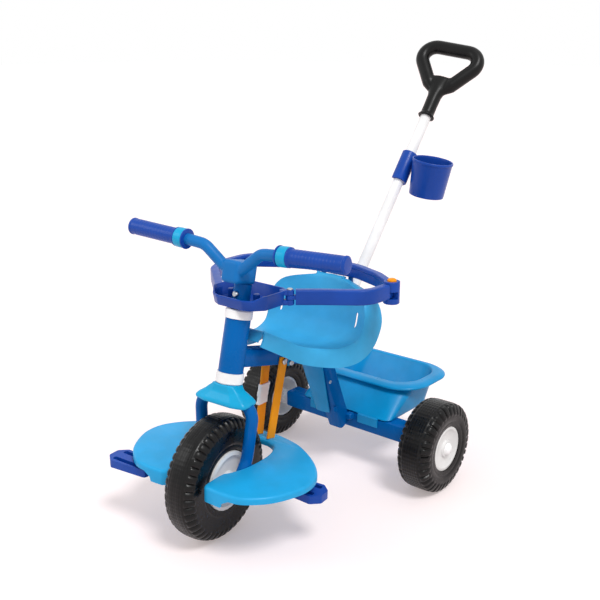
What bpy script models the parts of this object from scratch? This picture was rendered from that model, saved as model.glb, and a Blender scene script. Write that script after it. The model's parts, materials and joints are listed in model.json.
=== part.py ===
# A child's tricycle with a push pole, a safety ring, a bucket seat and a rear basket.
# Metres, +Z up, the front wheel towards -Y, the rider's left towards +X.

import math

import bmesh
import bpy
from mathutils import Matrix, Quaternion, Vector

# Fits and walls
seat_gap = 0.0003
running_gap = 0.0003
moulded_wall = 0.003

# Wheels and the ground plan
wheelbase = 0.4027
front_radius = 0.115
front_width = 0.066
front_hub_radius = 0.0546
rear_radius = 0.0915
rear_width = 0.0727
rear_track = 0.4214
rear_hub_radius = 0.0453
tyre_wall = 0.009
wheel_steps = 28

# Steering
rake = math.radians(13.37)
rest_steer = math.radians(6.5)
steerer_radius = 0.0125
head_tube_radius = 0.02275
head_tube_wall = 0.0025
head_tube_bottom = 0.1925
head_tube_top = 0.2893
cup_radius = 0.0250
lower_cup_height = 0.020
upper_cup_height = 0.016
cup_spigot = 0.008
crown_height = 0.146
crown_corner = 0.030
fork_half_width = 0.050
fork_shoulder_half = 0.060
fork_tube_radius = 0.011
fork_leg_rise = 0.026
fork_leg_break = 0.036
crown_cover_half = 0.056
crown_cover_bottom = 0.1385
stem_radius = 0.016
clamp_bottom = 0.352
clamp_top = 0.392
block_half_width = 0.018
block_reach = 0.046

# Handlebar
bar_radius = 0.0105
bar_forward = 0.0485
bar_bend_half = 0.060
bar_bend_height = 0.4105
grip_inner = 0.0975
grip_outer = 0.2286
grip_height = 0.419
grip_radius = 0.015
collar_radius = 0.0178
collar_width = 0.018
grip_flange = 0.003

# Cranks and pedals
crank_axle_radius = 0.006
crank_length = 0.058
crank_angle = math.radians(5.0)
crank_arm_thickness = 0.008
spindle_radius = 0.005
pedal_inner = 0.100
pedal_outer = 0.195
pedal_depth = 0.050
pedal_thickness = 0.015

# Footrest
deck_top = 0.031
deck_edge_bottom = 0.019
deck_tip_bottom = 0.003
saddle_thickness = 0.004

# Frame
beam_width = 0.035
beam_height = 0.033
beam_wall = 0.002
beam_start = (-0.352, 0.3275)
beam_knee = (-0.1060, 0.2685)
beam_foot = (-0.0340, 0.0931)
beam_knee_radius = 0.035
axle_beam_depth = 0.040
axle_beam_bottom = 0.081
axle_beam_top = 0.116
axle_beam_half = 0.160
rear_axle_radius = 0.005
bush_radius = 0.012

# Hanger bars under the seat
hanger_width = 0.021
hanger_thickness = 0.0045
hanger_top = (-0.237, 0.300)
hanger_kink = (-0.242, 0.280)
hanger_foot = (-0.270, 0.1457)
hanger_foot_half = 0.0145
bolt_radius = 0.003
bolt_head_radius = 0.006
bolt_head_height = 0.003

# Push pole, grip and cup
pole_start = (-0.0991, 0.2433)
pole_lean = math.radians(37.92)
pole_radius = 0.0115
pole_wall = 0.0012
socket_radius = 0.0138
socket_length = 0.093
pole_top = 0.618
pole_twist = math.radians(15.4)
grip_top = 0.779
grip_corner_half = 0.088
grip_bar_radius = 0.015
grip_neck_radius = 0.0146
cup_clip_low = 0.426
cup_clip_height = 0.068
cup_clip_radius = 0.0172
cup_middle = (0.0612, 0.0, 0.4508)
cup_rim_radius = 0.0425
cup_base_radius = 0.0365
cup_depth = 0.076

# Seat
seat_thickness = 0.003

# Basket: half width, then front and back edges, then front and back corner radii
basket_floor_plan = (0.1145, -0.0203, 0.1500, 0.016, 0.045)
basket_wall_plan = (0.1155, 0.0366, 0.1855, 0.050, 0.052)
basket_lip_plan = (0.1400, 0.0230, 0.1960, 0.065, 0.055)
basket_mouth_plan = (0.1120, 0.0497, 0.1820, 0.052, 0.050)
basket_inside_plan = (0.1115, -0.0088, 0.1465, 0.014, 0.042)
basket_rim_height = 0.178
basket_lip_height = 0.1715
basket_tab_bottom = 0.099

# Safety ring
ring_bottom = 0.419
ring_height = 0.0275
ring_thickness = 0.014
tray_plan = ((0.030, -0.357), (0.045, -0.350), (0.062, -0.330), (0.062, -0.285), (0.050, -0.270))
tray_dip = 0.0075
gate_axis = (0.0655, -0.272)
gate_pin_radius = 0.003
gate_eye_radius = 0.0078
gate_ear_height = 0.0095
latch_centre = (0.178, -0.120)
latch_radius = 0.015
latch_bottom = 0.4085
latch_top = 0.450
tongue_width = 0.009
tongue_height = 0.008
tongue_lift = 0.002
button_radius = 0.0085
button_rise = 0.005
spring_turns = 3


def clear_scene():
    for old in list(bpy.data.objects):
        bpy.data.objects.remove(old, do_unlink=True)


def paint(name, colour, roughness, metallic=0.0):
    material = bpy.data.materials.new(name)
    material.use_nodes = True
    shader = material.node_tree.nodes["Principled BSDF"]
    shader.inputs["Base Color"].default_value = (*colour, 1.0)
    shader.inputs["Roughness"].default_value = roughness
    shader.inputs["Metallic"].default_value = metallic
    material.diffuse_color = (*colour, 1.0)
    return material


def empty(name, parent=None, location=(0.0, 0.0, 0.0), rotation=None):
    helper = bpy.data.objects.new(name, None)
    bpy.context.scene.collection.objects.link(helper)
    helper.parent = parent
    helper.location = location
    if rotation is not None:
        helper.rotation_mode = "QUATERNION"
        helper.rotation_quaternion = rotation
    return helper


def shape(name, bm, material=None, parent=None, matrix=None, smooth=True):
    bmesh.ops.recalc_face_normals(bm, faces=bm.faces)
    mesh = bpy.data.meshes.new(name)
    bm.to_mesh(mesh)
    bm.free()
    if smooth:
        mesh.shade_smooth()
        mesh.set_sharp_from_angle(angle=math.radians(40.0))
    piece = bpy.data.objects.new(name, mesh)
    bpy.context.scene.collection.objects.link(piece)
    if material is not None:
        mesh.materials.append(material)
    piece.parent = parent
    if matrix is not None:
        piece.matrix_basis = matrix
    return piece


def tool(target, bm, operation):
    # A hidden shape in the target's own frame that a Boolean adds or takes away
    count = sum(1 for m in target.modifiers if m.type == "BOOLEAN")
    helper = shape(f"{target.name}_{operation.lower()}_{count}", bm, None, target.parent)
    helper.matrix_basis = target.matrix_basis
    helper.hide_render = True
    helper.display_type = "WIRE"
    modifier = target.modifiers.new(operation.title(), "BOOLEAN")
    modifier.operation = operation
    modifier.object = helper
    modifier.solver = "EXACT"
    return helper


def join(target, bm):
    return tool(target, bm, "UNION")


def cut(target, bm):
    return tool(target, bm, "DIFFERENCE")


def lathe(profile, steps, closed=False):
    # Turns (radius, height) points round Z, with a flat facet facing +X
    bm = bmesh.new()
    start = math.pi / steps
    verts = [
        bm.verts.new((r * math.cos(start), r * math.sin(start), h)) for r, h in profile
    ]
    edges = [bm.edges.new(pair) for pair in zip(verts, verts[1:])]
    if closed:
        edges.append(bm.edges.new((verts[-1], verts[0])))
    bmesh.ops.spin(
        bm,
        geom=verts + edges,
        cent=(0.0, 0.0, 0.0),
        axis=(0.0, 0.0, 1.0),
        angle=2.0 * math.pi,
        steps=steps,
        use_merge=True,
        use_duplicate=False,
    )
    bmesh.ops.remove_doubles(bm, verts=bm.verts, dist=0.000001)
    return bm


def rod(radius, low, high, steps=16):
    return lathe([(0.0, low), (radius, low), (radius, high), (0.0, high)], steps)


def sleeve(outer, inner, low, high, steps=16):
    return lathe([(outer, low), (outer, high), (inner, high), (inner, low)], steps, True)


def along_x(bm, location=(0.0, 0.0, 0.0)):
    # Lays a turned shape down with its height along +X
    bm.transform(Matrix.Translation(location) @ Matrix.Rotation(math.radians(90.0), 4, "Y"))
    return bm


def placed(bm, matrix):
    bm.transform(matrix)
    return bm


def axis_frame(origin, direction):
    # A frame at origin with Z along direction and X across it
    z = Vector(direction).normalized()
    x = Vector((1.0, 0.0, 0.0))
    if abs(z.x) > 0.9:
        x = Vector((0.0, 1.0, 0.0))
    x = (x - z * x.dot(z)).normalized()
    y = z.cross(x)
    turn = Matrix((x, y, z)).transposed().to_4x4()
    return Matrix.Translation(origin) @ turn


def block(size, centre):
    bm = bmesh.new()
    bmesh.ops.create_cube(bm, size=1.0)
    bm.transform(Matrix.Translation(centre) @ Matrix.Diagonal((*size, 1.0)))
    return bm


def soft_block(size, centre, radius, segments=2):
    bm = block(size, centre)
    bmesh.ops.bevel(
        bm,
        geom=bm.edges,
        offset=radius,
        offset_type="OFFSET",
        segments=segments,
        profile=0.5,
        affect="EDGES",
    )
    return bm


def loft(rings, capped=True, closed=False):
    bm = bmesh.new()
    rows = [[bm.verts.new(point) for point in ring] for ring in rings]
    pairs = list(zip(rows, rows[1:]))
    if closed:
        pairs.append((rows[-1], rows[0]))
    for low, high in pairs:
        count = len(low)
        for i in range(count):
            j = (i + 1) % count
            bm.faces.new((low[i], low[j], high[j], high[i]))
    if capped and not closed:
        bm.faces.new(rows[0])
        bm.faces.new(rows[-1])
    return bm


def prism(outline, low, high):
    return loft([[Vector((x, y, z)) for x, y in outline] for z in (low, high)])


def rounded(points, radius, steps=4, closed=False):
    # A polyline with each inner corner turned into an arc
    points = [Vector(p) for p in points]
    radii = radius if isinstance(radius, (list, tuple)) else [radius] * len(points)
    result = []
    count = len(points)
    for i, point in enumerate(points):
        if not closed and i in (0, count - 1):
            result.append(point)
            continue
        before = points[i - 1] - point
        after = points[(i + 1) % count] - point
        u = before.normalized()
        v = after.normalized()
        opening = u.angle(v)
        if opening > math.radians(178.0) or radii[i] <= 0.0:
            result.append(point)
            continue
        trim = min(radii[i] / math.tan(opening / 2.0), 0.48 * before.length, 0.48 * after.length)
        reach = trim * math.tan(opening / 2.0)
        centre = point + (u + v).normalized() * (reach / math.sin(opening / 2.0))
        first = point + u * trim - centre
        last = point + v * trim - centre
        swing = first.angle(last)
        for k in range(steps + 1):
            t = k / steps
            arm = (math.sin((1.0 - t) * swing) * first + math.sin(t * swing) * last) / math.sin(swing)
            result.append(centre + arm)
    return result


def smooth_line(points, steps, closed=False):
    # A curve through all the points
    points = [Vector(p) for p in points]
    count = len(points)
    spans = count if closed else count - 1
    result = []
    for i in range(spans):
        if closed:
            p0, p1, p2, p3 = (points[(i + k) % count] for k in (-1, 0, 1, 2))
        else:
            p0 = points[max(i - 1, 0)]
            p1 = points[i]
            p2 = points[i + 1]
            p3 = points[min(i + 2, count - 1)]
        for k in range(steps):
            t = k / steps
            result.append(
                0.5
                * (
                    2.0 * p1
                    + (p2 - p0) * t
                    + (2.0 * p0 - 5.0 * p1 + 4.0 * p2 - p3) * t * t
                    + (3.0 * p1 - p0 - 3.0 * p2 + p3) * t * t * t
                )
            )
    if not closed:
        result.append(points[-1])
    return result


def circle(radius, steps):
    return [
        (radius * math.cos(2.0 * math.pi * i / steps), radius * math.sin(2.0 * math.pi * i / steps))
        for i in range(steps)
    ]


def rounded_rectangle(width, height, radius, steps=2):
    corners = [
        (-width / 2, -height / 2, 0.0),
        (width / 2, -height / 2, 0.0),
        (width / 2, height / 2, 0.0),
        (-width / 2, height / 2, 0.0),
    ]
    return [(p.x, p.y) for p in rounded(corners, radius, steps, closed=True)]


def sweep(path, section, fixed, closed=False, scales=None):
    # Carries a section along a path: its first axis lies across, its second along fixed
    path = [Vector(p) for p in path]
    fixed = Vector(fixed)
    rings = []
    count = len(path)
    for i, point in enumerate(path):
        if closed:
            before = path[i - 1]
            after = path[(i + 1) % count]
        else:
            before = path[max(i - 1, 0)]
            after = path[min(i + 1, count - 1)]
        tangent = ((point - before).normalized() + (after - point).normalized()).normalized()
        up = (fixed - tangent * fixed.dot(tangent)).normalized()
        across = tangent.cross(up)
        k = scales[i] if scales else 1.0
        rings.append([point + across * (a * k) + up * (b * k) for a, b in section])
    return loft(rings, closed=closed)


def inset(outline, distance):
    # Moves a closed counter-clockwise outline of (x, y) points inwards
    count = len(outline)
    result = []
    for i, (x, y) in enumerate(outline):
        ax, ay = outline[i - 1]
        bx, by = outline[(i + 1) % count]
        tangent = Vector((bx - ax, by - ay)).normalized()
        result.append((x - tangent.y * distance, y + tangent.x * distance))
    return result


def mirrored(points):
    # A half outline on +X, front to back, closed by its mirror image
    return list(points) + [(-x, y) for x, y in reversed(points)]


clear_scene()

frame_blue = paint("frame_blue", (0.003, 0.114, 0.429), 0.30)
bar_blue = paint("bar_blue", (0.013, 0.202, 0.521), 0.32)
sky_blue = paint("sky_blue", (0.065, 0.392, 0.730), 0.38)
deck_blue = paint("deck_blue", (0.023, 0.376, 0.745), 0.38)
basket_blue = paint("basket_blue", (0.014, 0.246, 0.578), 0.36)
navy = paint("navy", (0.017, 0.056, 0.352), 0.40)
cyan = paint("cyan", (0.016, 0.423, 0.723), 0.35)
orange = paint("orange", (0.723, 0.246, 0.016), 0.40)
white_plastic = paint("white_plastic", (0.84, 0.84, 0.84), 0.35)
white_paint = paint("white_paint", (0.84, 0.84, 0.84), 0.30)
tyre_black = paint("tyre_black", (0.016, 0.016, 0.019), 0.55)
grip_black = paint("grip_black", (0.013, 0.013, 0.012), 0.45)
bare_steel = paint("bare_steel", (0.55, 0.56, 0.58), 0.30, 1.0)

# Frames of reference: the rear axle on the ground, then the steering turned on its raked axis
root = empty("tricycle_root")
head_axis = Vector((0.0, math.sin(rake), math.cos(rake)))
steering = empty(
    "steering_pivot",
    root,
    (0.0, -wheelbase, front_radius),
    Quaternion(head_axis, rest_steer),
)
head_line = empty("head_line", steering, rotation=Quaternion((1.0, 0.0, 0.0), -rake))
fixed_head_line = empty(
    "fixed_head_line",
    root,
    (0.0, -wheelbase, front_radius),
    Quaternion((1.0, 0.0, 0.0), -rake),
)


def axis_y(height):
    # Where the head axis lies at a height above the ground
    return -wheelbase + (height - front_radius) * math.tan(rake)


# Wheels


def tyre(name, radius, width, crown, hub_radius, parent):
    # A moulded tyre, open towards its hub; crown is its flat tread's share of the width
    half = width / 2.0
    flat = half * crown
    bead = hub_radius + seat_gap
    rim_half = half - 0.004
    corner = [
        (radius - 0.0035, flat + 0.50 * (half - flat)),
        (radius - 0.0135, half - 0.0025),
        (radius - 0.0260, half),
        (bead + 0.004, rim_half + 0.001),
        (bead, rim_half),
        (bead, half - tyre_wall - 0.006),
        (radius - tyre_wall, half - tyre_wall - 0.004),
    ]
    # The flat facets touch the ground, so the corners between them stand out a little
    swell = 1.0 / math.cos(math.pi / wheel_steps)
    outer = [(radius, flat)] + corner
    profile = [(r, h) for r, h in outer] + [(r, -h) for r, h in reversed(outer)]
    profile = [(r * swell, h) for r, h in profile]
    return shape(name, along_x(lathe(profile, wheel_steps, True)), tyre_black, parent)


front_wheel = empty("front_wheel_axle", steering)
tyre("front_tyre", front_radius, front_width, 0.30, front_hub_radius, front_wheel)

front_hub_half = front_width / 2.0 - 0.001
front_hub_boss = fork_half_width - fork_tube_radius - 0.0025


def front_hub(side_name, sign):
    bore = crank_axle_radius + running_gap
    rim = front_hub_radius
    profile = [
        (bore, sign * seat_gap / 2.0),
        (bore, sign * front_hub_boss),
        (0.016, sign * front_hub_boss),
        (0.018, sign * (front_hub_half - 0.006)),
        (rim - 0.011, sign * (front_hub_half - 0.005)),
        (rim - 0.007, sign * front_hub_half),
        (rim, sign * (front_hub_half - 0.001)),
        (rim, sign * 0.008),
        (rim - 0.012, sign * seat_gap / 2.0),
    ]
    shape(f"front_hub_{side_name}", along_x(lathe(profile, wheel_steps, True)), white_plastic, front_wheel)


front_hub("left", 1.0)
front_hub("right", -1.0)

rear_hub_face = rear_track / 2.0 + rear_width / 2.0 - 0.006
rear_hub_inner = rear_track / 2.0 - rear_width / 2.0 + 0.003
rear_axle_half = rear_hub_face + 0.004


def rear_wheel(side_name, sign):
    axle = empty(f"rear_{side_name}_axle", root, (sign * rear_track / 2.0, 0.0, rear_radius))
    tyre(f"rear_tyre_{side_name}", rear_radius, rear_width, 0.72, rear_hub_radius, axle)
    bore = rear_axle_radius + running_gap
    rim = rear_hub_radius
    outer = rear_hub_face - rear_track / 2.0
    inner = rear_hub_inner - rear_track / 2.0
    profile = [
        (bore, inner),
        (bore, outer),
        (0.0160, outer),
        (0.0175, outer - 0.004),
        (rim - 0.009, outer - 0.003),
        (rim - 0.005, outer),
        (rim, outer - 0.001),
        (rim, inner + 0.005),
        (rim - 0.004, inner + 0.005),
        (0.016, outer - 0.012),
        (0.016, inner),
    ]
    profile = [(r, sign * h) for r, h in profile]
    shape(f"rear_hub_{side_name}", along_x(lathe(profile, wheel_steps, True)), white_plastic, axle)
    seat = outer + seat_gap
    cap = [
        (0.0, seat + 0.0075),
        (0.0075, seat + 0.0065),
        (0.0115, seat + 0.003),
        (0.0125, seat),
        (bore, seat),
        (bore, rear_axle_half - rear_track / 2.0 + seat_gap),
        (0.0, rear_axle_half - rear_track / 2.0 + seat_gap),
    ]
    cap = [(r, sign * h) for r, h in cap]
    shape(f"rear_cap_{side_name}", along_x(lathe(cap, 20)), white_plastic, axle)


rear_wheel("left", 1.0)
rear_wheel("right", -1.0)

shape(
    "rear_axle",
    along_x(rod(rear_axle_radius, -rear_axle_half, rear_axle_half)),
    bare_steel,
    root,
    Matrix.Translation((0.0, 0.0, rear_radius)),
)

# Frame: the head tube with the main beam welded to it, running down to the axle beam

frame_matrix = Matrix.Translation((0.0, -wheelbase, front_radius)) @ Matrix.Rotation(-rake, 4, "X")
beam_path = rounded(
    [(0.0, *beam_start), (0.0, *beam_knee), (0.0, *beam_foot)], [0.0, beam_knee_radius, 0.0], 4
)
beam_hollow_end = beam_path[-1] + (beam_path[-2] - beam_path[-1]).normalized() * 0.003
across = (1.0, 0.0, 0.0)


def frame():
    piece = shape(
        "frame",
        sweep(beam_path, rounded_rectangle(beam_height, beam_width, 0.005), across),
        frame_blue,
        root,
    )
    tube = rod(head_tube_radius, head_tube_bottom, head_tube_top, 24)
    join(piece, placed(tube, frame_matrix))
    for sign in (-1.0, 1.0):
        lug = soft_block((0.014, 0.016, 0.013), (sign * 0.0225, -0.0285, 0.1105), 0.002, 1)
        join(piece, lug)
    hollow = rounded_rectangle(beam_height - 2.0 * beam_wall, beam_width - 2.0 * beam_wall, 0.003, 1)
    cut(piece, sweep(beam_path[:-1] + [beam_hollow_end], hollow, across))
    bore = rod(head_tube_radius - head_tube_wall, head_tube_bottom - 0.01, head_tube_top + 0.01, 20)
    cut(piece, placed(bore, frame_matrix))
    clear = axle_beam_depth / 2.0 + seat_gap
    foot = block(
        (0.2, 2.0 * clear, axle_beam_top - axle_beam_bottom + 2.0 * seat_gap),
        (0.0, 0.0, (axle_beam_top + axle_beam_bottom) / 2.0),
    )
    cut(piece, foot)
    for y, z in (hanger_bolt_place, seat_bolt_place):
        cut(piece, along_x(rod(bolt_radius + seat_gap, -0.05, 0.05, 12), (0.0, y, z)))
    cut(piece, placed(rod(socket_radius + seat_gap, -0.002, 0.2, 16), pole_frame))


hanger_bolt_place = (-0.2385, 0.2925)
seat_bolt_place = (-0.2165, 0.2840)
pole_direction = Vector((0.0, math.sin(pole_lean), math.cos(pole_lean)))
pole_frame = axis_frame((0.0, *pole_start), pole_direction)
frame()


def headset_cup(name, seat, height, sign):
    # seat is the end of the head tube, and sign is -1 for the cup below it
    outer = head_tube_radius - head_tube_wall - 2.0 * seat_gap
    bore = steerer_radius + running_gap
    near = seat + sign * seat_gap
    far = near + sign * height
    profile = [
        (bore, far),
        (cup_radius - 0.002, far),
        (cup_radius, far - sign * 0.002),
        (cup_radius, near),
        (outer, near),
        (outer, near - sign * cup_spigot),
        (bore, near - sign * cup_spigot),
    ]
    shape(name, lathe(profile, 20, True), white_plastic, fixed_head_line)


headset_cup("headset_cup_lower", head_tube_bottom, lower_cup_height, -1.0)
headset_cup("headset_cup_upper", head_tube_top, upper_cup_height, 1.0)


def axle_beam():
    height = axle_beam_top - axle_beam_bottom
    middle = (axle_beam_top + axle_beam_bottom) / 2.0
    piece = shape(
        "axle_beam",
        soft_block((2.0 * axle_beam_half, axle_beam_depth, height), (0.0, 0.0, middle), 0.004),
        frame_blue,
        root,
    )
    bore = rod(rear_axle_radius + seat_gap, -0.2, 0.2, 16)
    cut(piece, along_x(bore, (0.0, 0.0, rear_radius)))


axle_beam()
for side_name, sign in (("left", 1.0), ("right", -1.0)):
    low, high = sorted((sign * (axle_beam_half + seat_gap), sign * (rear_hub_inner - seat_gap)))
    bush = sleeve(bush_radius, rear_axle_radius + running_gap, low, high, 20)
    shape(
        f"axle_bush_{side_name}",
        along_x(bush),
        white_plastic,
        root,
        Matrix.Translation((0.0, 0.0, rear_radius)),
    )


# Hanger bars from the beam down to the footrest's rear bridge


def hanger(side_name, sign):
    outside = sign * (beam_width / 2.0 + seat_gap + hanger_thickness / 2.0)
    path = [
        (outside, *hanger_top),
        (outside, *hanger_kink),
        (sign * hanger_foot_half, *hanger_foot),
    ]
    section = rounded_rectangle(hanger_thickness, hanger_width, 0.0012, 1)
    piece = shape(f"hanger_bar_{side_name}", sweep(path, section, (0.0, 1.0, 0.0)), orange, root)
    y, z = hanger_bolt_place
    cut(piece, along_x(rod(bolt_radius + seat_gap, -0.05, 0.05, 12), (0.0, y, z)))


hanger("left", 1.0)
hanger("right", -1.0)


def through_bolt(name, place, half_grip):
    # A bolt across the beam with a round head at each end
    head = half_grip + bolt_head_height
    profile = [
        (0.0, -head),
        (bolt_head_radius - 0.001, -head),
        (bolt_head_radius, -head + 0.001),
        (bolt_head_radius, -half_grip),
        (bolt_radius, -half_grip),
        (bolt_radius, half_grip),
        (bolt_head_radius, half_grip),
        (bolt_head_radius, head - 0.001),
        (bolt_head_radius - 0.001, head),
        (0.0, head),
    ]
    shape(name, along_x(lathe(profile, 12), (0.0, *place)), bare_steel, root)


hanger_face = beam_width / 2.0 + seat_gap + hanger_thickness
through_bolt("hanger_bolt", hanger_bolt_place, hanger_face + seat_gap)


def bar_sleeve():
    # A plain white sleeve round the right-hand hanger bar
    kink = Vector((-(beam_width / 2.0 + seat_gap + hanger_thickness / 2.0), *hanger_kink))
    foot = Vector((-hanger_foot_half, *hanger_foot))
    start = kink.lerp(foot, 0.28)
    end = kink.lerp(foot, 0.56)
    wall = 0.0008
    thick = hanger_thickness + 2.0 * seat_gap
    wide = hanger_width + 2.0 * seat_gap
    outer = rounded_rectangle(thick + 2.0 * wall, wide + 2.0 * wall, 0.0016, 1)
    inner = rounded_rectangle(thick, wide, 0.0010, 1)
    piece = shape("bar_sleeve", sweep([start, end], outer, (0.0, 1.0, 0.0)), white_plastic, root)
    over = (end - start) * 0.1
    cut(piece, sweep([start - over, end + over], inner, (0.0, 1.0, 0.0)))


bar_sleeve()

# Steering: fork, headset cover, stem and handlebar


def head_point(x, forward, height):
    # A point of the steering: across, ahead of the head axis, and up along it
    turn = Matrix.Rotation(-rake, 4, "X")
    return turn @ Vector((x, -forward, height))


def fork_path():
    crown = head_point(0.0, 0.0, crown_height)
    outer = Vector((fork_shoulder_half, crown.y, crown.z))
    knee = Vector((fork_half_width, fork_leg_rise, fork_leg_break))
    foot = Vector((fork_half_width, 0.0, 0.0))
    half = [outer, knee, foot]
    left = [Vector((-p.x, p.y, p.z)) for p in reversed(half)]
    radii = [0.0, 0.03, crown_corner, crown_corner, 0.03, 0.0]
    return rounded(left + half, radii, 3)


def saddle(extra=0.0):
    # The plates on the fork legs that carry the footrest
    top = deck_top - moulded_wall - seat_gap
    for sign in (-1.0, 1.0):
        size = (0.032 + 2.0 * extra, 0.024 + 2.0 * extra, saddle_thickness + 2.0 * extra)
        yield block(size, (sign * 0.070, 0.020, top - saddle_thickness / 2.0))


def fork():
    ring = circle(fork_tube_radius, 10)
    piece = shape("fork", sweep(fork_path(), ring, (0.0, 1.0, 0.0)), frame_blue, steering)
    steerer = rod(steerer_radius, crown_height, clamp_top - 0.004, 20)
    join(piece, placed(steerer, Matrix.Rotation(-rake, 4, "X")))
    eye_inner = fork_half_width - 0.0095
    eye_outer = fork_half_width + 0.0095
    for sign in (-1.0, 1.0):
        low, high = sorted((sign * eye_inner, sign * eye_outer))
        join(piece, along_x(rod(0.0145, low, high, 20)))
    for plate in saddle():
        join(piece, plate)
    cut(piece, along_x(rod(crank_axle_radius + running_gap, -0.08, 0.08, 20)))


fork()


def crown_cover():
    # A faceted cap over the fork crown: its rim is level, its top square to the head axis
    half = crown_cover_half
    plan = mirrored([(0.030, -0.030), (half, -0.023), (half, 0.013), (0.030, 0.028)])
    low = crown_cover_bottom
    middle = head_point(0.0, 0.0, crown_height).y
    rings = []
    for scale, height in ((0.96, low), (1.0, low + 0.002), (1.0, low + 0.004), (0.66, low + 0.018)):
        rings.append([Vector((x * scale, middle + y * scale, height)) for x, y in plan])
    top_height = head_tube_bottom - seat_gap - lower_cup_height - 0.0006
    rings.append([head_point(x * 0.42, -y * 0.78, top_height) for x, y in plan])
    piece = shape("crown_cover", loft(rings), cyan, steering, smooth=False)
    ring = circle(fork_tube_radius + seat_gap, 10)
    cut(piece, sweep(fork_path(), ring, (0.0, 1.0, 0.0)))
    bore = rod(steerer_radius + seat_gap, 0.1, 0.2, 20)
    cut(piece, placed(bore, Matrix.Rotation(-rake, 4, "X")))
    cut(piece, block((2.0 * half - 0.010, 0.042, 0.008), (0.0, middle - 0.002, low + 0.001)))


crown_cover()

cup_top = head_tube_top + seat_gap + upper_cup_height
shape(
    "stem",
    sleeve(stem_radius, steerer_radius + seat_gap, cup_top + 0.0005, clamp_bottom - seat_gap, 24),
    frame_blue,
    head_line,
)


def handlebar():
    middle = (clamp_bottom + clamp_top) / 2.0
    half = [
        (0.010, -block_reach + 0.011, middle + 0.004),
        (0.020, -block_reach + 0.011, middle + 0.007),
        (bar_bend_half, -bar_forward + 0.003, bar_bend_height),
        (grip_inner, -bar_forward, bar_bend_height + 0.003),
        (grip_outer - 0.010, -bar_forward, grip_height - 0.0005),
    ]
    left = [(-x, y, z) for x, y, z in reversed(half)]
    radii = [0.0, 0.05, 0.030, 0.02, 0.0, 0.0, 0.02, 0.030, 0.05, 0.0]
    path = rounded(left + half, radii, 2)
    piece = shape("handlebar", sweep(path, circle(bar_radius, 12), (0.0, 1.0, 0.0)), bar_blue, head_line)
    clamp = rod(stem_radius + 0.004, clamp_bottom, clamp_top, 24)
    join(piece, clamp)
    depth = block_reach
    front = soft_block(
        (2.0 * block_half_width, depth, clamp_top - clamp_bottom), (0.0, -depth / 2.0, middle), 0.004
    )
    join(piece, front)
    cut(piece, rod(steerer_radius + seat_gap, clamp_bottom - 0.01, clamp_top - 0.0035, 20))


handlebar()

# Grip frames: along the outer part of the handlebar
grip_start = Vector((grip_inner, -bar_forward, bar_bend_height + 0.003))
grip_end = Vector((grip_outer, -bar_forward, grip_height))
grip_length = (grip_end - grip_start).length


def grip(side_name, sign):
    start = Vector((sign * grip_start.x, grip_start.y, grip_start.z))
    end = Vector((sign * grip_end.x, grip_end.y, grip_end.z))
    place = axis_frame(start, end - start)
    bore = bar_radius + seat_gap
    neck = collar_radius - 0.005
    flange = collar_radius + 0.0006
    first = grip_flange
    second = grip_flange + collar_width + 2.0 * seat_gap
    profile = [
        (0.0, grip_length - 0.005),
        (bore, grip_length - 0.005),
        (bore, 0.0),
        (flange, 0.0),
        (flange, first),
        (neck, first),
        (neck, second),
        (flange - 0.001, second),
        (flange - 0.001, second + 0.0025),
        (grip_radius, second + 0.004),
        (grip_radius, grip_length - 0.003),
        (grip_radius - 0.003, grip_length),
        (0.0, grip_length),
    ]
    shape(f"grip_{side_name}", lathe(profile, 18), navy, head_line, place)
    low = first + seat_gap
    collar = [
        (neck + seat_gap, low),
        (collar_radius - 0.001, low),
        (collar_radius, low + 0.001),
        (collar_radius, low + collar_width - 0.001),
        (collar_radius - 0.001, low + collar_width),
        (neck + seat_gap, low + collar_width),
    ]
    shape(f"bar_collar_{side_name}", lathe(collar, 18, True), cyan, head_line, place)


grip("left", 1.0)
grip("right", -1.0)

shape(
    "stem_bolt",
    placed(
        lathe([(0.0, 0.0), (0.0055, 0.0), (0.0055, 0.004), (0.004, 0.0055), (0.0, 0.0055)], 12),
        axis_frame((0.0, -(stem_radius + seat_gap), 0.332), (0.0, -1.0, 0.0)),
    ),
    bare_steel,
    head_line,
)

# Cranks and pedals

cranks = empty("crank_pivot", steering)
arm_inner = fork_half_width + 0.0115
arm_outer = arm_inner + crank_arm_thickness
shape(
    "crank_axle",
    along_x(rod(crank_axle_radius, -arm_outer, arm_outer, 16)),
    bare_steel,
    cranks,
)


def crank(side_name, sign, toward):
    # toward is +1 for the arm that points back, -1 for the one that points forward
    tip = Vector((0.0, toward * crank_length * math.cos(crank_angle), -toward * crank_length * math.sin(crank_angle)))
    low, high = sorted((sign * arm_inner, sign * arm_outer))
    arm = shape(f"crank_arm_{side_name}", along_x(rod(0.011, low, high, 16)), bare_steel, cranks)
    join(arm, along_x(rod(0.009, low, high, 16), tip))
    web = block((crank_arm_thickness, crank_length, 0.014), (0.0, 0.0, 0.0))
    turn = Matrix.Rotation(-crank_angle, 4, "X")
    middle = Vector((sign * (arm_inner + arm_outer) / 2.0, tip.y / 2.0, tip.z / 2.0))
    join(arm, placed(web, Matrix.Translation(middle) @ turn))
    low, high = sorted((sign * (arm_outer - 0.001), sign * (pedal_outer - 0.006)))
    join(arm, along_x(rod(spindle_radius, low, high, 14), tip))
    cut(arm, along_x(rod(crank_axle_radius + seat_gap, -0.1, 0.1, 16)))
    pedal(side_name, sign, tip)


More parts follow.
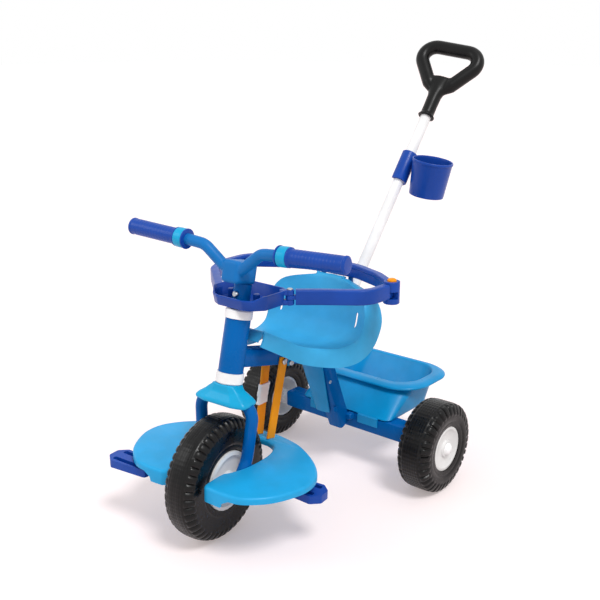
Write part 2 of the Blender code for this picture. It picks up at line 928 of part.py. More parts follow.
def pedal(side_name, sign, tip):
    pivot = empty(f"pedal_{side_name}_pivot", cranks, tip)
    half = pedal_depth / 2.0
    outline = [
        (pedal_inner, -half + 0.006, 0.0),
        (pedal_outer - 0.016, -half, 0.0),
        (pedal_outer, -half + 0.014, 0.0),
        (pedal_outer, half - 0.014, 0.0),
        (pedal_outer - 0.016, half, 0.0),
        (pedal_inner, half - 0.006, 0.0),
    ]
    outline = [(sign * p.x, p.y) for p in rounded(outline, 0.006, 2, closed=True)]
    piece = shape(
        f"pedal_{side_name}", prism(outline, -pedal_thickness / 2.0, pedal_thickness / 2.0), navy, pivot
    )
    low, high = sorted((sign * (pedal_inner - 0.01), sign * (pedal_outer - 0.005)))
    cut(piece, along_x(rod(spindle_radius + running_gap, low, high, 14)))
    for y in (-1.0, 1.0):
        pocket = soft_block((0.066, 0.0095, 0.016), (sign * 0.1475, y * 0.0135, 0.0065), 0.002, 1)
        cut(piece, pocket)


crank("left", 1.0, 1.0)
crank("right", -1.0, -1.0)

# Footrest: one horseshoe moulding round the front wheel, open underneath

deck_outer = [
    (0.052, -0.085),
    (0.080, -0.086),
    (0.112, -0.082),
    (0.137, -0.066),
    (0.158, -0.044),
    (0.175, -0.012),
    (0.184, 0.022),
    (0.178, 0.058),
    (0.153, 0.093),
    (0.116, 0.123),
    (0.072, 0.147),
    (0.030, 0.161),
]
deck_inner = [
    (0.030, 0.1185),
    (0.050, 0.108),
    (0.0615, 0.082),
    (0.0630, 0.050),
    (0.0580, 0.010),
    (0.0470, -0.018),
    (0.0385, -0.034),
    (0.0375, -0.072),
]


def deck_outline():
    # The left half first, so that the outline runs counter-clockwise
    outside = smooth_line([(x, y, 0.0) for x, y in deck_outer], 2)
    inside = smooth_line([(x, y, 0.0) for x, y in deck_inner], 2)
    right = [(p.x, p.y) for p in outside]
    left = [(-x, y) for x, y in reversed(right)]
    inner_right = [(p.x, p.y) for p in inside]
    inner_left = [(-x, y) for x, y in reversed(inner_right)]
    return right + left + inner_left + inner_right


def sloped_cutter(drop):
    # Everything above the plane square to the head axis that the hanger bars stand on
    foot = Vector((0.0, hanger_foot[0] + wheelbase, hanger_foot[1] - front_radius))
    size = 0.4
    lift = -(0.0006 + drop)
    frame_at = Matrix.Translation(foot) @ Matrix.Rotation(-rake, 4, "X")
    low = block((size, 0.2, 0.1), (0.0, 0.06, 0.05 + lift))
    return placed(low, frame_at)


def footrest():
    outline = deck_outline()
    rings = []
    for step, height in (
        (0.0, deck_tip_bottom),
        (0.0, deck_top - 0.005),
        (0.0013, deck_top - 0.0016),
        (0.0045, deck_top),
    ):
        rings.append([Vector((x, y, height)) for x, y in inset(outline, step)])
    piece = shape("footrest", loft(rings), deck_blue, steering)
    cut(piece, sloped_cutter(0.0))
    # Outside the front tips the skirt is shallow
    low = deck_tip_bottom - 0.01
    side = [
        Vector((0.0, -0.066, low)),
        Vector((0.0, -0.062, deck_edge_bottom - 0.008)),
        Vector((0.0, -0.048, deck_edge_bottom)),
        Vector((0.0, 0.22, deck_edge_bottom)),
        Vector((0.0, 0.22, low)),
    ]
    rings = [[p + Vector((x, 0.0, 0.0)) for p in side] for x in (-0.22, 0.22)]
    cut(piece, loft(rings))
    for sign in (-1.0, 1.0):
        flank = [
            Vector((sign * 0.074, 0.0, low)),
            Vector((sign * 0.080, 0.0, deck_edge_bottom - 0.008)),
            Vector((sign * 0.094, 0.0, deck_edge_bottom)),
            Vector((sign * 0.22, 0.0, deck_edge_bottom)),
            Vector((sign * 0.22, 0.0, low)),
        ]
        cut(piece, loft([[p + Vector((0.0, y, 0.0)) for p in flank] for y in (-0.12, 0.0)]))
    inner = inset(outline, moulded_wall)
    hollow = prism(inner, low, deck_top - moulded_wall)
    cavity = cut(piece, hollow)
    cut(cavity, sloped_cutter(moulded_wall))
    clear = circle(fork_tube_radius + 0.0008, 10)
    cut(piece, sweep(fork_path(), clear, (0.0, 1.0, 0.0)))
    for plate in saddle(seat_gap):
        cut(piece, plate)


footrest()

# Seat: a bucket with a raised nose, its edge rolled down into a skirt

seat_spine = [
    (-0.304, 0.366),
    (-0.280, 0.3475),
    (-0.250, 0.3290),
    (-0.205, 0.3145),
    (-0.165, 0.3060),
    (-0.128, 0.3100),
    (-0.103, 0.3310),
    (-0.088, 0.3650),
    (-0.077, 0.3960),
    (-0.070, 0.4160),
]
seat_widths = [0.032, 0.058, 0.074, 0.090, 0.104, 0.113, 0.117, 0.116, 0.095, 0.030]
seat_lifts = [0.000, 0.003, 0.004, 0.005, 0.009, 0.014, 0.020, 0.026, 0.022, 0.002]
seat_skirts = [0.026, 0.027, 0.028, 0.030, 0.033, 0.037, 0.042, 0.044, 0.030, 0.012]


def sampled(values, t):
    # Reads a list of numbers spread evenly over 0 to 1 with a smooth curve
    spot = t * (len(values) - 1)
    i = min(int(spot), len(values) - 2)
    p = [values[max(0, min(len(values) - 1, i + k))] for k in (-1, 0, 1, 2)]
    f = spot - i
    return 0.5 * (
        2.0 * p[1]
        + (p[2] - p[0]) * f
        + (2.0 * p[0] - 5.0 * p[1] + 4.0 * p[2] - p[3]) * f * f
        + (3.0 * p[1] - p[0] - 3.0 * p[2] + p[3]) * f * f * f
    )


def seat_tangent(t):
    # The way along the seat's middle line, from the nose to the top of the back
    step = 0.02
    a = max(0.0, t - step)
    b = min(1.0, t + step)
    dy = sampled([p[0] for p in seat_spine], b) - sampled([p[0] for p in seat_spine], a)
    dz = sampled([p[1] for p in seat_spine], b) - sampled([p[1] for p in seat_spine], a)
    return Vector((0.0, dy, dz)).normalized()


def seat_inward(t):
    # Into the bucket: up on the pan, forward on the back
    tangent = seat_tangent(t)
    return Vector((0.0, -tangent.z, tangent.y))


def seat_point(across_share, t, out=0.0, down=0.0):
    y = sampled([p[0] for p in seat_spine], t)
    z = sampled([p[1] for p in seat_spine], t)
    x = sampled(seat_widths, t) * across_share + math.copysign(out, across_share)
    lift = sampled(seat_lifts, t) * across_share * across_share
    return Vector((x, y, z)) + seat_inward(t) * (lift - down)


def rolled_edge(row, t, reach, drop):
    # The nose and the top of the back roll over like the sides
    tangent = seat_tangent(t)
    inward = seat_inward(t)
    middle = (len(row) - 1) / 2.0
    result = []
    for k, point in enumerate(row):
        away = abs(k - middle) / middle
        # The skirt's own rows already hang down, so they only move outwards
        hang = drop if 3 <= k < len(row) - 3 else 0.0
        result.append(point + tangent * (reach * (1.0 - 0.35 * away)) - inward * hang)
    return result


def seat():
    rows = 14
    columns = (-1.0, -0.78, -0.5, -0.22, 0.22, 0.5, 0.78, 1.0)
    grid = []
    for i in range(rows + 1):
        t = i / rows
        skirt = sampled(seat_skirts, t)
        folds = [(0.0065, skirt), (0.0055, 0.5 * skirt), (0.003, 0.004)]
        row = [seat_point(-1.0, t, out, down) for out, down in folds]
        row += [seat_point(share, t) for share in columns]
        row += [seat_point(1.0, t, out, down) for out, down in reversed(folds)]
        grid.append(row)
    front = rolled_edge(grid[0], 0.0, -0.004, 0.004)
    front_low = rolled_edge(grid[0], 0.0, -0.005, 0.020)
    back = rolled_edge(grid[-1], 1.0, 0.004, 0.004)
    back_low = rolled_edge(grid[-1], 1.0, 0.005, 0.012)
    grid = [front_low, front] + grid + [back, back_low]
    bm = bmesh.new()
    verts = [[bm.verts.new(p) for p in row] for row in grid]
    for low, high in zip(verts, verts[1:]):
        for k in range(len(low) - 1):
            bm.faces.new((low[k], low[k + 1], high[k + 1], high[k]))
    piece = shape("seat", bm, sky_blue, root)
    shell = piece.modifiers.new("Shell", "SOLIDIFY")
    shell.thickness = seat_thickness
    shell.offset = 1.0
    shell.use_even_offset = True
    # Two cheeks under the pan hold the beam between them
    cheek_gap = beam_width / 2.0 + seat_gap
    for sign in (-1.0, 1.0):
        middle = sign * (cheek_gap + moulded_wall / 2.0)
        cheek_place = (middle, seat_bolt_place[0], seat_bolt_place[1] + 0.0132)
        join(piece, block((moulded_wall, 0.014, 0.0388), cheek_place))
    cut(piece, along_x(rod(bolt_radius + seat_gap, -0.05, 0.05, 12), (0.0, *seat_bolt_place)))
    for sign in (-1.0, 1.0):
        slot = soft_block((0.006, 0.060, 0.046), (sign * 0.0935, -0.085, 0.347), 0.0025, 1)
        cut(piece, slot)


seat()

# Basket: an open tub with a wide lip, standing on the axle beam


def basket_ring(plan, step, height):
    half, front, back, near, far = plan
    corners = [(half, front, 0.0), (half, back, 0.0), (-half, back, 0.0), (-half, front, 0.0)]
    outline = rounded(corners, [near, far, far, near], 5, closed=True)
    return [Vector((x, y, height)) for x, y in inset([(p.x, p.y) for p in outline], step)]


def basket():
    low = axle_beam_top + seat_gap
    floor = low + moulded_wall
    lip = basket_lip_height
    rings = [
        basket_ring(basket_floor_plan, 0.003, low),
        basket_ring(basket_floor_plan, 0.0, low + 0.002),
        basket_ring(basket_wall_plan, 0.0, lip - 0.0015),
        basket_ring(basket_lip_plan, 0.0025, lip - 0.0020),
        basket_ring(basket_lip_plan, 0.0, lip),
        basket_ring(basket_lip_plan, 0.0015, lip + 0.0030),
        basket_ring(basket_mouth_plan, -0.002, basket_rim_height),
        basket_ring(basket_mouth_plan, 0.0, basket_rim_height - 0.0008),
        basket_ring(basket_inside_plan, 0.0, floor + 0.003),
        basket_ring(basket_inside_plan, 0.003, floor),
    ]
    piece = shape("basket", loft(rings), basket_blue, root)
    # Two tabs carry the front wall on down the axle beam's front face
    face = -axle_beam_depth / 2.0 - seat_gap
    profile = [
        (face, basket_tab_bottom),
        (face, low + 0.0003),
        (-0.0095, low + 0.0003),
        (-0.0095, floor + 0.003),
        (-0.0137, floor + 0.003),
        (face - moulded_wall, low + 0.001),
        (face - moulded_wall, basket_tab_bottom),
    ]
    for sign in (-1.0, 1.0):
        low_x, high_x = sorted((sign * 0.038, sign * 0.088))
        join(piece, loft([[Vector((x, y, z)) for y, z in profile] for x in (low_x, high_x)]))


basket()

# Push pole, its socket, the D grip and the cup holder

pole_bottom = 0.004


def pole_socket():
    # A tube welded into the beam's knee, open at the top
    bore = pole_radius + running_gap
    profile = [
        (0.0, 0.0),
        (socket_radius, 0.0),
        (socket_radius, socket_length - 0.008),
        (socket_radius + 0.002, socket_length - 0.007),
        (socket_radius + 0.002, socket_length),
        (bore, socket_length),
        (bore, pole_bottom - seat_gap),
        (0.0, pole_bottom - seat_gap),
    ]
    shape("pole_socket", lathe(profile, 20), frame_blue, root, pole_frame)


pole_socket()
pole = empty("pole_line", root)
pole.matrix_basis = pole_frame @ Matrix.Rotation(pole_twist, 4, "Z")
shape(
    "push_pole",
    sleeve(pole_radius, pole_radius - pole_wall, pole_bottom, pole_top, 20),
    white_paint,
    pole,
)


def d_grip():
    # A bent bar on a flared body, bored to take the tube's end
    neck_low = pole_top - 0.030
    neck = grip_neck_radius
    flange = neck + 0.0043
    rings = []
    for wide, deep, height in (
        (flange, flange, neck_low),
        (flange, flange, neck_low + 0.003),
        (neck, neck, neck_low + 0.005),
        (neck + 0.0005, neck, pole_top + 0.022),
        (0.0200, 0.0140, pole_top + 0.042),
        (0.0300, 0.0142, pole_top + 0.062),
        (0.0280, 0.0125, pole_top + 0.070),
    ):
        rings.append([Vector((x * wide, y * deep, height)) for x, y in circle(1.0, 16)])
    piece = shape("d_grip", loft(rings), grip_black, pole)
    top = grip_top - grip_bar_radius
    half = [
        Vector((grip_corner_half, 0.0, top)),
        Vector((0.024, 0.0, pole_top + 0.054)),
        Vector((0.010, 0.0, pole_top + 0.036)),
    ]
    path = rounded(
        [Vector((-p.x, 0.0, p.z)) for p in reversed(half)] + half, [0.0, 0.0, 0.034, 0.034, 0.0, 0.0], 5
    )
    # The bar's ends narrow where they run into the body
    scales = [0.55] + [1.0] * (len(path) - 2) + [0.55]
    join(piece, sweep(path, circle(grip_bar_radius, 12), (0.0, 1.0, 0.0), scales=scales))
    cut(piece, rod(pole_radius + seat_gap, neck_low - 0.01, pole_top + seat_gap, 20))


d_grip()


def cup_holder():
    # A clip round the pole, moulded in one with the cup
    clip_low = cup_clip_low
    clip_high = cup_clip_low + cup_clip_height
    piece = shape("cup_holder", sleeve(cup_clip_radius, pole_radius - 0.003, clip_low, clip_high, 20), navy, pole)
    # The cup stands upright beside the leaning pole, before the twist
    upright = Vector((0.0, -math.sin(pole_lean), math.cos(pole_lean)))
    cup_frame = axis_frame(Vector(cup_middle) - upright * (cup_depth / 2.0), upright)
    wall = 0.0025
    outside = [
        (0.0, 0.0),
        (cup_base_radius - 0.003, 0.0),
        (cup_base_radius, 0.003),
        (cup_rim_radius, cup_depth),
        (0.0, cup_depth),
    ]
    join(piece, placed(lathe(outside, 24), cup_frame))
    bridge = soft_block((0.030, 0.012, 0.060), (0.022, 0.0, (clip_low + clip_high) / 2.0), 0.002, 1)
    join(piece, bridge)
    inside = [
        (0.0, wall),
        (cup_base_radius - wall, wall),
        (cup_rim_radius - wall, cup_depth + 0.001),
        (0.0, cup_depth + 0.001),
    ]
    cut(piece, placed(lathe(inside, 24), cup_frame))
    cut(piece, rod(pole_radius + seat_gap, clip_low - 0.01, clip_high + 0.01, 20))
    slot = block((0.012, 0.02, 0.1), (-0.016, 0.0, (clip_low + clip_high) / 2.0))
    cut(piece, slot)


cup_holder()

# Safety ring: a fixed part with the tray round the stem, and a gate on the left

spring_floor = latch_top - 0.018
button_bottom = spring_floor + 0.008


def ring_section():
    half = ring_thickness / 2.0
    return [
        (-half + 0.002, 0.0),
        (half - 0.002, 0.0),
        (half, 0.003),
        (half, ring_height - 0.009),
        (half + 0.0025, ring_height - 0.006),
        (half + 0.0015, ring_height),
        (-half + 0.002, ring_height),
        (-half, ring_height - 0.003),
        (-half, 0.002),
    ]


def tray_ring(step, height, dip):
    # The tray's plan, with its front lip lower than the rest by dip
    corners = [(x, y, 0.0) for x, y in mirrored(tray_plan)]
    outline = rounded(corners, 0.010, 2, closed=True)
    ring = []
    for x, y in inset([(p.x, p.y) for p in outline], step):
        share = min(1.0, max(0.0, (y - tray_plan[1][1]) / (tray_plan[2][1] - tray_plan[1][1])))
        ring.append(Vector((x, y, height - dip * (1.0 - share * share * (3.0 - 2.0 * share)))))
    return ring


def ring_base():
    low = ring_bottom
    high = ring_bottom + ring_height
    far = rounded(
        [
            (-0.038, -0.342, low),
            (-0.155, -0.240, low),
            (-0.180, -0.190, low),
            (-0.180, -0.118, low),
            (-0.120, -0.076, low),
            (-0.050, -0.049, low),
            (0.050, -0.049, low),
            (0.120, -0.076, low),
            (latch_centre[0] - 0.004, latch_centre[1] + 0.006, low),
        ],
        [0.0, 0.05, 0.045, 0.045, 0.08, 0.08, 0.08, 0.08, 0.0],
        3,
    )
    # The section's wide side faces out of the loop
    piece = shape("ring_base", sweep(far, ring_section(), (0.0, 0.0, 1.0)), navy, root)
    tray = [
        tray_ring(0.0035, low, 0.0),
        tray_ring(0.0010, low + 0.002, 0.0),
        tray_ring(-0.0020, high - 0.001, tray_dip),
        tray_ring(-0.0010, high, tray_dip),
        tray_ring(0.0005, high, tray_dip),
    ]
    join(piece, loft(tray))
    hinge = Vector((*gate_axis, 0.0))
    turn = Matrix.Rotation(math.radians(42.0), 4, "Z")
    for base in (low, high - gate_ear_height):
        ear = rod(gate_eye_radius, base, base + gate_ear_height, 16)
        join(piece, placed(ear, Matrix.Translation(hinge)))
        arm = block((0.018, 0.013, gate_ear_height - 0.0004), (-0.009, 0.0, base + gate_ear_height / 2.0))
        join(piece, placed(arm, Matrix.Translation(hinge) @ turn))
    hollow = [
        tray_ring(0.0055, low + moulded_wall, 0.0),
        tray_ring(0.0012, high + 0.004, 0.0),
    ]
    cut(piece, loft(hollow))
    cut(piece, placed(rod(stem_radius + 0.0012, 0.25, 0.37, 24), frame_matrix))
    cut(piece, placed(rod(gate_pin_radius + running_gap, 0.40, 0.46, 12), Matrix.Translation(hinge)))
    # The latch barrel takes the push button and the gate's tongue
    place = Matrix.Translation((*latch_centre, 0.0))
    join(piece, placed(rod(latch_radius, latch_bottom, latch_top, 24), place))
    cut(piece, placed(rod(button_radius + running_gap, spring_floor, latch_top + 0.01, 20), place))
    # A notch open outwards and forwards, so the tongue leaves it as the gate swings
    notch_low = (-(tongue_width / 2.0 + 0.001), -0.022, low + tongue_lift - 0.0008)
    notch_high = (0.022, -0.001, low + tongue_lift + tongue_height + 0.0008)
    size = [end - start for start, end in zip(notch_low, notch_high)]
    middle = [(end + start) / 2.0 for start, end in zip(notch_low, notch_high)]
    cut(piece, placed(block(size, middle), place))


def ring_gate():
    low = ring_bottom
    hinge = Vector((*gate_axis, 0.0))
    end_y = latch_centre[1] - latch_radius - 0.0008
    bend = Vector((0.105, -0.239, 0.0))
    start = hinge + (bend - hinge).normalized() * 0.0100
    path = rounded(
        [(start.x, start.y, low), (*bend.xy, low), (0.175, -0.186, low), (latch_centre[0], end_y, low)],
        [0.0, 0.05, 0.045, 0.0],
        4,
    )
    section = [(-a, b) for a, b in ring_section()]
    local = Matrix.Translation(-hinge)
    piece = shape(
        "ring_gate",
        placed(sweep(path, section, (0.0, 0.0, 1.0)), local),
        navy,
        root,
        Matrix.Translation(hinge),
    )
    eye_low = ring_bottom + gate_ear_height + 0.0004
    eye_high = ring_bottom + ring_height - gate_ear_height - 0.0004
    join(piece, rod(gate_eye_radius, eye_low, eye_high, 16))
    toward = bend - hinge
    neck = block((0.014, 0.011, eye_high - eye_low), (0.007, 0.0, (eye_low + eye_high) / 2.0))
    join(piece, placed(neck, Matrix.Rotation(math.atan2(toward.y, toward.x), 4, "Z")))
    cut(piece, rod(gate_pin_radius + running_gap, 0.40, 0.46, 12))
    tip_y = latch_centre[1] - 0.002
    root_y = end_y - 0.003
    tongue = block(
        (tongue_width, tip_y - root_y, tongue_height),
        (latch_centre[0], (tip_y + root_y) / 2.0, ring_bottom + tongue_lift + tongue_height / 2.0),
    )
    join(piece, placed(tongue, local))


ring_base()
ring_gate()
ring_top = ring_bottom + ring_height
shape(
    "gate_pin",
    lathe(
        [
            (0.0, ring_bottom - 0.0005),
            (gate_pin_radius, ring_bottom - 0.0005),
            (gate_pin_radius, ring_top + seat_gap),
            (0.0055, ring_top + seat_gap),
            (0.0055, ring_top + 0.0015),
            (0.0045, ring_top + 0.0023),
            (0.0, ring_top + 0.0023),
        ],
        14,
    ),
    bare_steel,
    root,
    Matrix.Translation((*gate_axis, 0.0)),
)
shape(
    "latch_button",
    lathe(
        [
            (0.0, button_bottom),
            (button_radius, button_bottom),
            (button_radius, latch_top + button_rise - 0.0015),
            (button_radius - 0.0015, latch_top + button_rise),
            (0.0, latch_top + button_rise),
        ],
        20,
    ),
    orange,
    root,
    Matrix.Translation((*latch_centre, 0.0)),
)


def latch_spring():
    radius = button_radius - 0.0022
    wire = 0.0006
    low = spring_floor + wire + seat_gap
    high = button_bottom - wire - seat_gap
    count = spring_turns * 6
    points = []
    for i in range(count + 1):
        angle = 2.0 * math.pi * i / 6.0
        points.append((radius * math.cos(angle), radius * math.sin(angle), low + (high - low) * i / count))
    shape(
        "latch_spring",
        sweep(points, circle(wire, 4), (0.0, 0.0, 1.0)),
        bare_steel,
        root,
        Matrix.Translation((*latch_centre, 0.0)),
    )


latch_spring()


def ring_post(side_name, sign):
    # A bent rod from the beam's side, behind the seat back, to the ring's underside
    y = -0.049
    path = rounded(
        [
            (sign * 0.0250, -0.118, 0.262),
            (sign * 0.0250, -0.092, 0.290),
            (sign * 0.0340, y, 0.378),
            (sign * 0.0340, y, ring_bottom - seat_gap),
        ],
        [0.0, 0.02, 0.02, 0.0],
        3,
    )
    piece = shape(f"ring_post_{side_name}", sweep(path, circle(0.005, 10), (0.0, 1.0, 0.0)), frame_blue, root)
    low, high = sorted((sign * (beam_width / 2.0 + seat_gap), sign * 0.0262))
    join(piece, along_x(rod(0.011, low, high, 16), (0.0, -0.118, 0.262)))
    return piece


ring_post("left", 1.0)
ring_post("right", -1.0)
through_bolt("seat_bolt", seat_bolt_place, beam_width / 2.0 + moulded_wall + 2.0 * seat_gap)

# The origin goes under the middle of the whole tricycle, on the ground


def centre_on_ground():
    bpy.context.view_layer.update()
    graph = bpy.context.evaluated_depsgraph_get()
    corners = []
    for piece in bpy.context.scene.objects:
        if piece.type == "MESH" and not piece.hide_render:
            solid = piece.evaluated_get(graph)
            corners += [solid.matrix_world @ v.co for v in solid.to_mesh().vertices]
            solid.to_mesh_clear()
    lows = [min(c[i] for c in corners) for i in range(3)]
    highs = [max(c[i] for c in corners) for i in range(3)]
    root.location = (-(lows[0] + highs[0]) / 2.0, -(lows[1] + highs[1]) / 2.0, -lows[2])
    bpy.context.view_layer.update()


centre_on_ground()
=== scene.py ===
import json
import math

import bmesh
import bpy
from mathutils import Matrix, Vector, noise


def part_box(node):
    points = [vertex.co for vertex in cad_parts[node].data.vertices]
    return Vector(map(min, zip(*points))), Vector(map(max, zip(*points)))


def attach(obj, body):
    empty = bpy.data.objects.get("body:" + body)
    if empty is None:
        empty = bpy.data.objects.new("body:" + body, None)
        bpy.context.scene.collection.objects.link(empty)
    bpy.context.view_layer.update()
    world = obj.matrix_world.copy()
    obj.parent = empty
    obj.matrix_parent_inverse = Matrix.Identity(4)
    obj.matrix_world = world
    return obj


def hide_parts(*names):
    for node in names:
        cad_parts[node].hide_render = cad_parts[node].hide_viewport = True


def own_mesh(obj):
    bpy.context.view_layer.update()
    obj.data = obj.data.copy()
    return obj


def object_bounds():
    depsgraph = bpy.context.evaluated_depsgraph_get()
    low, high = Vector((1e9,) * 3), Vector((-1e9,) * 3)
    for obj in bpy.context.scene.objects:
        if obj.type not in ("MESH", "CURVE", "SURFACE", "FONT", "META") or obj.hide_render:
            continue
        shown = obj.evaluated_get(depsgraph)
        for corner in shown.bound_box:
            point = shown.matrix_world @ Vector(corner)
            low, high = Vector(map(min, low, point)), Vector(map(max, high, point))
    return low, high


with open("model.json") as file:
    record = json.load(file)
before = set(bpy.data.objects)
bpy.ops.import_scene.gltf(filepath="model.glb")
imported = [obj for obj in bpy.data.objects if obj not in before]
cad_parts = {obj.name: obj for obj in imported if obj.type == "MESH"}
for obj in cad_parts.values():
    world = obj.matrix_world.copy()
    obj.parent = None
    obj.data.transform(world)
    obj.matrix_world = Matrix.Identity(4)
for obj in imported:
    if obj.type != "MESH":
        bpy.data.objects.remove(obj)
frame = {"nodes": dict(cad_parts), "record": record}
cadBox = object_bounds()
print("tricycle: frame loaded, %d nodes" % len(frame["nodes"]))

mm = 0.001

# Colour and nodes


def linearColour(hexText):
    # sRGB hex to the linear values a shader wants
    channels = [int(hexText[i:i + 2], 16) / 255.0 for i in (1, 3, 5)]
    return tuple(c / 12.92 if c <= 0.04045 else ((c + 0.055) / 1.055) ** 2.4 for c in channels) + (1.0,)


def shadeOf(hexText, factor):
    # The same colour, lighter or darker
    return tuple(min(c * factor, 1.0) for c in linearColour(hexText)[:3]) + (1.0,)


def addNode(tree, kind, settings=None, links=None):
    node = tree.nodes.new(kind)
    for name, value in (settings or {}).items():
        if isinstance(name, int) or name in node.inputs:
            node.inputs[name].default_value = value
        else:
            setattr(node, name, value)
    for name, source in (links or {}).items():
        tree.links.new(source, node.inputs[name])
    return node


# Materials. Each look says how colour, wear and relief vary, in patches of a real size. A relief row is
# the texture, its settings and output, the strength of its bump and the real depth


def blotches(tree, place, patch, reach):
    # Soft patches whose value runs over reach; ragged is how broken up their edges are
    settings = {"Scale": 1.0 / patch["size"], "Detail": patch["detail"], "Roughness": patch["ragged"]}
    cloud = addNode(tree, "ShaderNodeTexNoise", settings, {"Vector": place})
    low, high = patch["span"]
    settings = {"From Min": low, "From Max": high, "To Min": reach[0], "To Max": reach[1]}
    return addNode(tree, "ShaderNodeMapRange", settings, {"Value": cloud.outputs["Fac"]}).outputs["Result"]


def newFinish(name, hexText, look, roughness, coat=0.0):
    material = bpy.data.materials.new(name)
    material.use_nodes = True
    tree = material.node_tree
    tree.nodes.clear()
    place = addNode(tree, "ShaderNodeTexCoord").outputs["Object"]
    settings = {"Base Color": linearColour(hexText), "Roughness": roughness, "Coat Weight": coat}
    shader = addNode(tree, "ShaderNodeBsdfPrincipled", {**settings, **look["shader"]})
    addNode(tree, "ShaderNodeOutputMaterial", None, {"Surface": shader.outputs["BSDF"]})
    if "drift" in look:
        deep, pale = (shadeOf(hexText, factor) for factor in look["drift"]["shades"])
        share = blotches(tree, place, look["drift"], (0.0, 1.0))
        mix = addNode(tree, "ShaderNodeMix", {"data_type": "RGBA", 6: deep, 7: pale}, {0: share})
        tree.links.new(mix.outputs[2], shader.inputs["Base Color"])
    if "wear" in look:
        reach = [roughness + change for change in look["wear"]["reach"]]
        tree.links.new(blotches(tree, place, look["wear"], reach), shader.inputs["Roughness"])
    links = {}
    for kind, pattern, output, strength, depth in look["relief"]:
        links["Height"] = addNode(tree, kind, pattern, {"Vector": place}).outputs[output]
        settings = {"Strength": strength, "Distance": depth}
        links["Normal"] = addNode(tree, "ShaderNodeBump", settings, links).outputs["Normal"]
    tree.links.new(links["Normal"], shader.inputs["Normal"])
    return material


# Moulded polypropylene and polyethylene: saturated through the body, a satin skin, faint flow and
# sink that bend a highlight, and a mould grain drawn coarser than the real 0.2 mm so that it shows
sinkMarks = ("ShaderNodeTexNoise", {"Scale": 1.0 / (32 * mm), "Detail": 1.0}, "Fac", 0.30, 0.6 * mm)
mouldGrain = ("ShaderNodeTexNoise", {"Scale": 1.0 / (1.1 * mm), "Detail": 2.0}, "Fac", 0.05, 0.12 * mm)
mouldedPlastic = {
    "drift": {"size": 55 * mm, "detail": 3.0, "ragged": 0.5, "span": (0.35, 0.65), "shades": (0.93, 1.07)},
    "wear": {"size": 18 * mm, "detail": 4.0, "ragged": 0.6, "span": (0.3, 0.7), "reach": (-0.05, 0.07)},
    "relief": [sinkMarks, mouldGrain],
    "shader": {"IOR": 1.49, "Specular IOR Level": 0.22, "Coat Roughness": 0.12},
}

# The same plastic with a coarser grain, for the hand
gripGrain = (*mouldGrain[:3], 0.08, mouldGrain[4])
gripPlastic = {**mouldedPlastic, "relief": [sinkMarks, gripGrain]}

# Polyester powder on steel tube: an even gloss with orange peel a couple of millimetres across
orangePeel = ("ShaderNodeTexNoise", {"Scale": 1.0 / (2.4 * mm), "Detail": 1.0}, "Fac", 0.06, 0.15 * mm)
powderCoat = {
    "drift": {"size": 70 * mm, "detail": 2.0, "ragged": 0.5, "span": (0.35, 0.65), "shades": (0.93, 1.06)},
    "wear": {"size": 24 * mm, "detail": 5.0, "ragged": 0.5, "span": (0.3, 0.7), "reach": (-0.04, 0.06)},
    "relief": [orangePeel],
    "shader": {"IOR": 1.52, "Specular IOR Level": 0.08, "Coat Roughness": 0.10},
}

# Zinc-plated steel: a cool grey with clouding and fine turned lines
turnedLines = ("ShaderNodeTexWave", {"Scale": 1.0 / (1.2 * mm), "Distortion": 1.5}, "Fac", 0.08, 0.05 * mm)
zincSteel = {
    "drift": {"size": 6 * mm, "detail": 4.0, "ragged": 0.5, "span": (0.35, 0.65), "shades": (0.80, 1.10)},
    "wear": {"size": 6 * mm, "detail": 4.0, "ragged": 0.5, "span": (0.3, 0.7), "reach": (-0.08, 0.10)},
    "relief": [turnedLines],
    "shader": {"Metallic": 1.0},
}

# Blow-moulded polyethylene: near black, waxy streaks round the tread, dull in the grooves
waxySkin = ("ShaderNodeTexNoise", {"Scale": 1.0 / (3.5 * mm), "Detail": 3.0}, "Fac", 0.22, 0.35 * mm)
blowMouldedTyre = {
    "drift": {"size": 14 * mm, "detail": 5.0, "ragged": 0.65, "span": (0.35, 0.7), "shades": (0.75, 1.35)},
    "wear": {"size": 14 * mm, "detail": 5.0, "ragged": 0.65, "span": (0.35, 0.7), "reach": (-0.07, 0.14)},
    "relief": [waxySkin],
    "shader": {"IOR": 1.50, "Specular IOR Level": 0.26},
}

# Thin white plastic film, crumpled: small sharp creases with a soft shine
filmCreases = ("ShaderNodeTexVoronoi", {"Scale": 1.0 / (7 * mm)}, "Distance", 0.5, 0.8 * mm)
crumpledFilm = {"relief": [filmCreases], "shader": {"IOR": 1.5}}

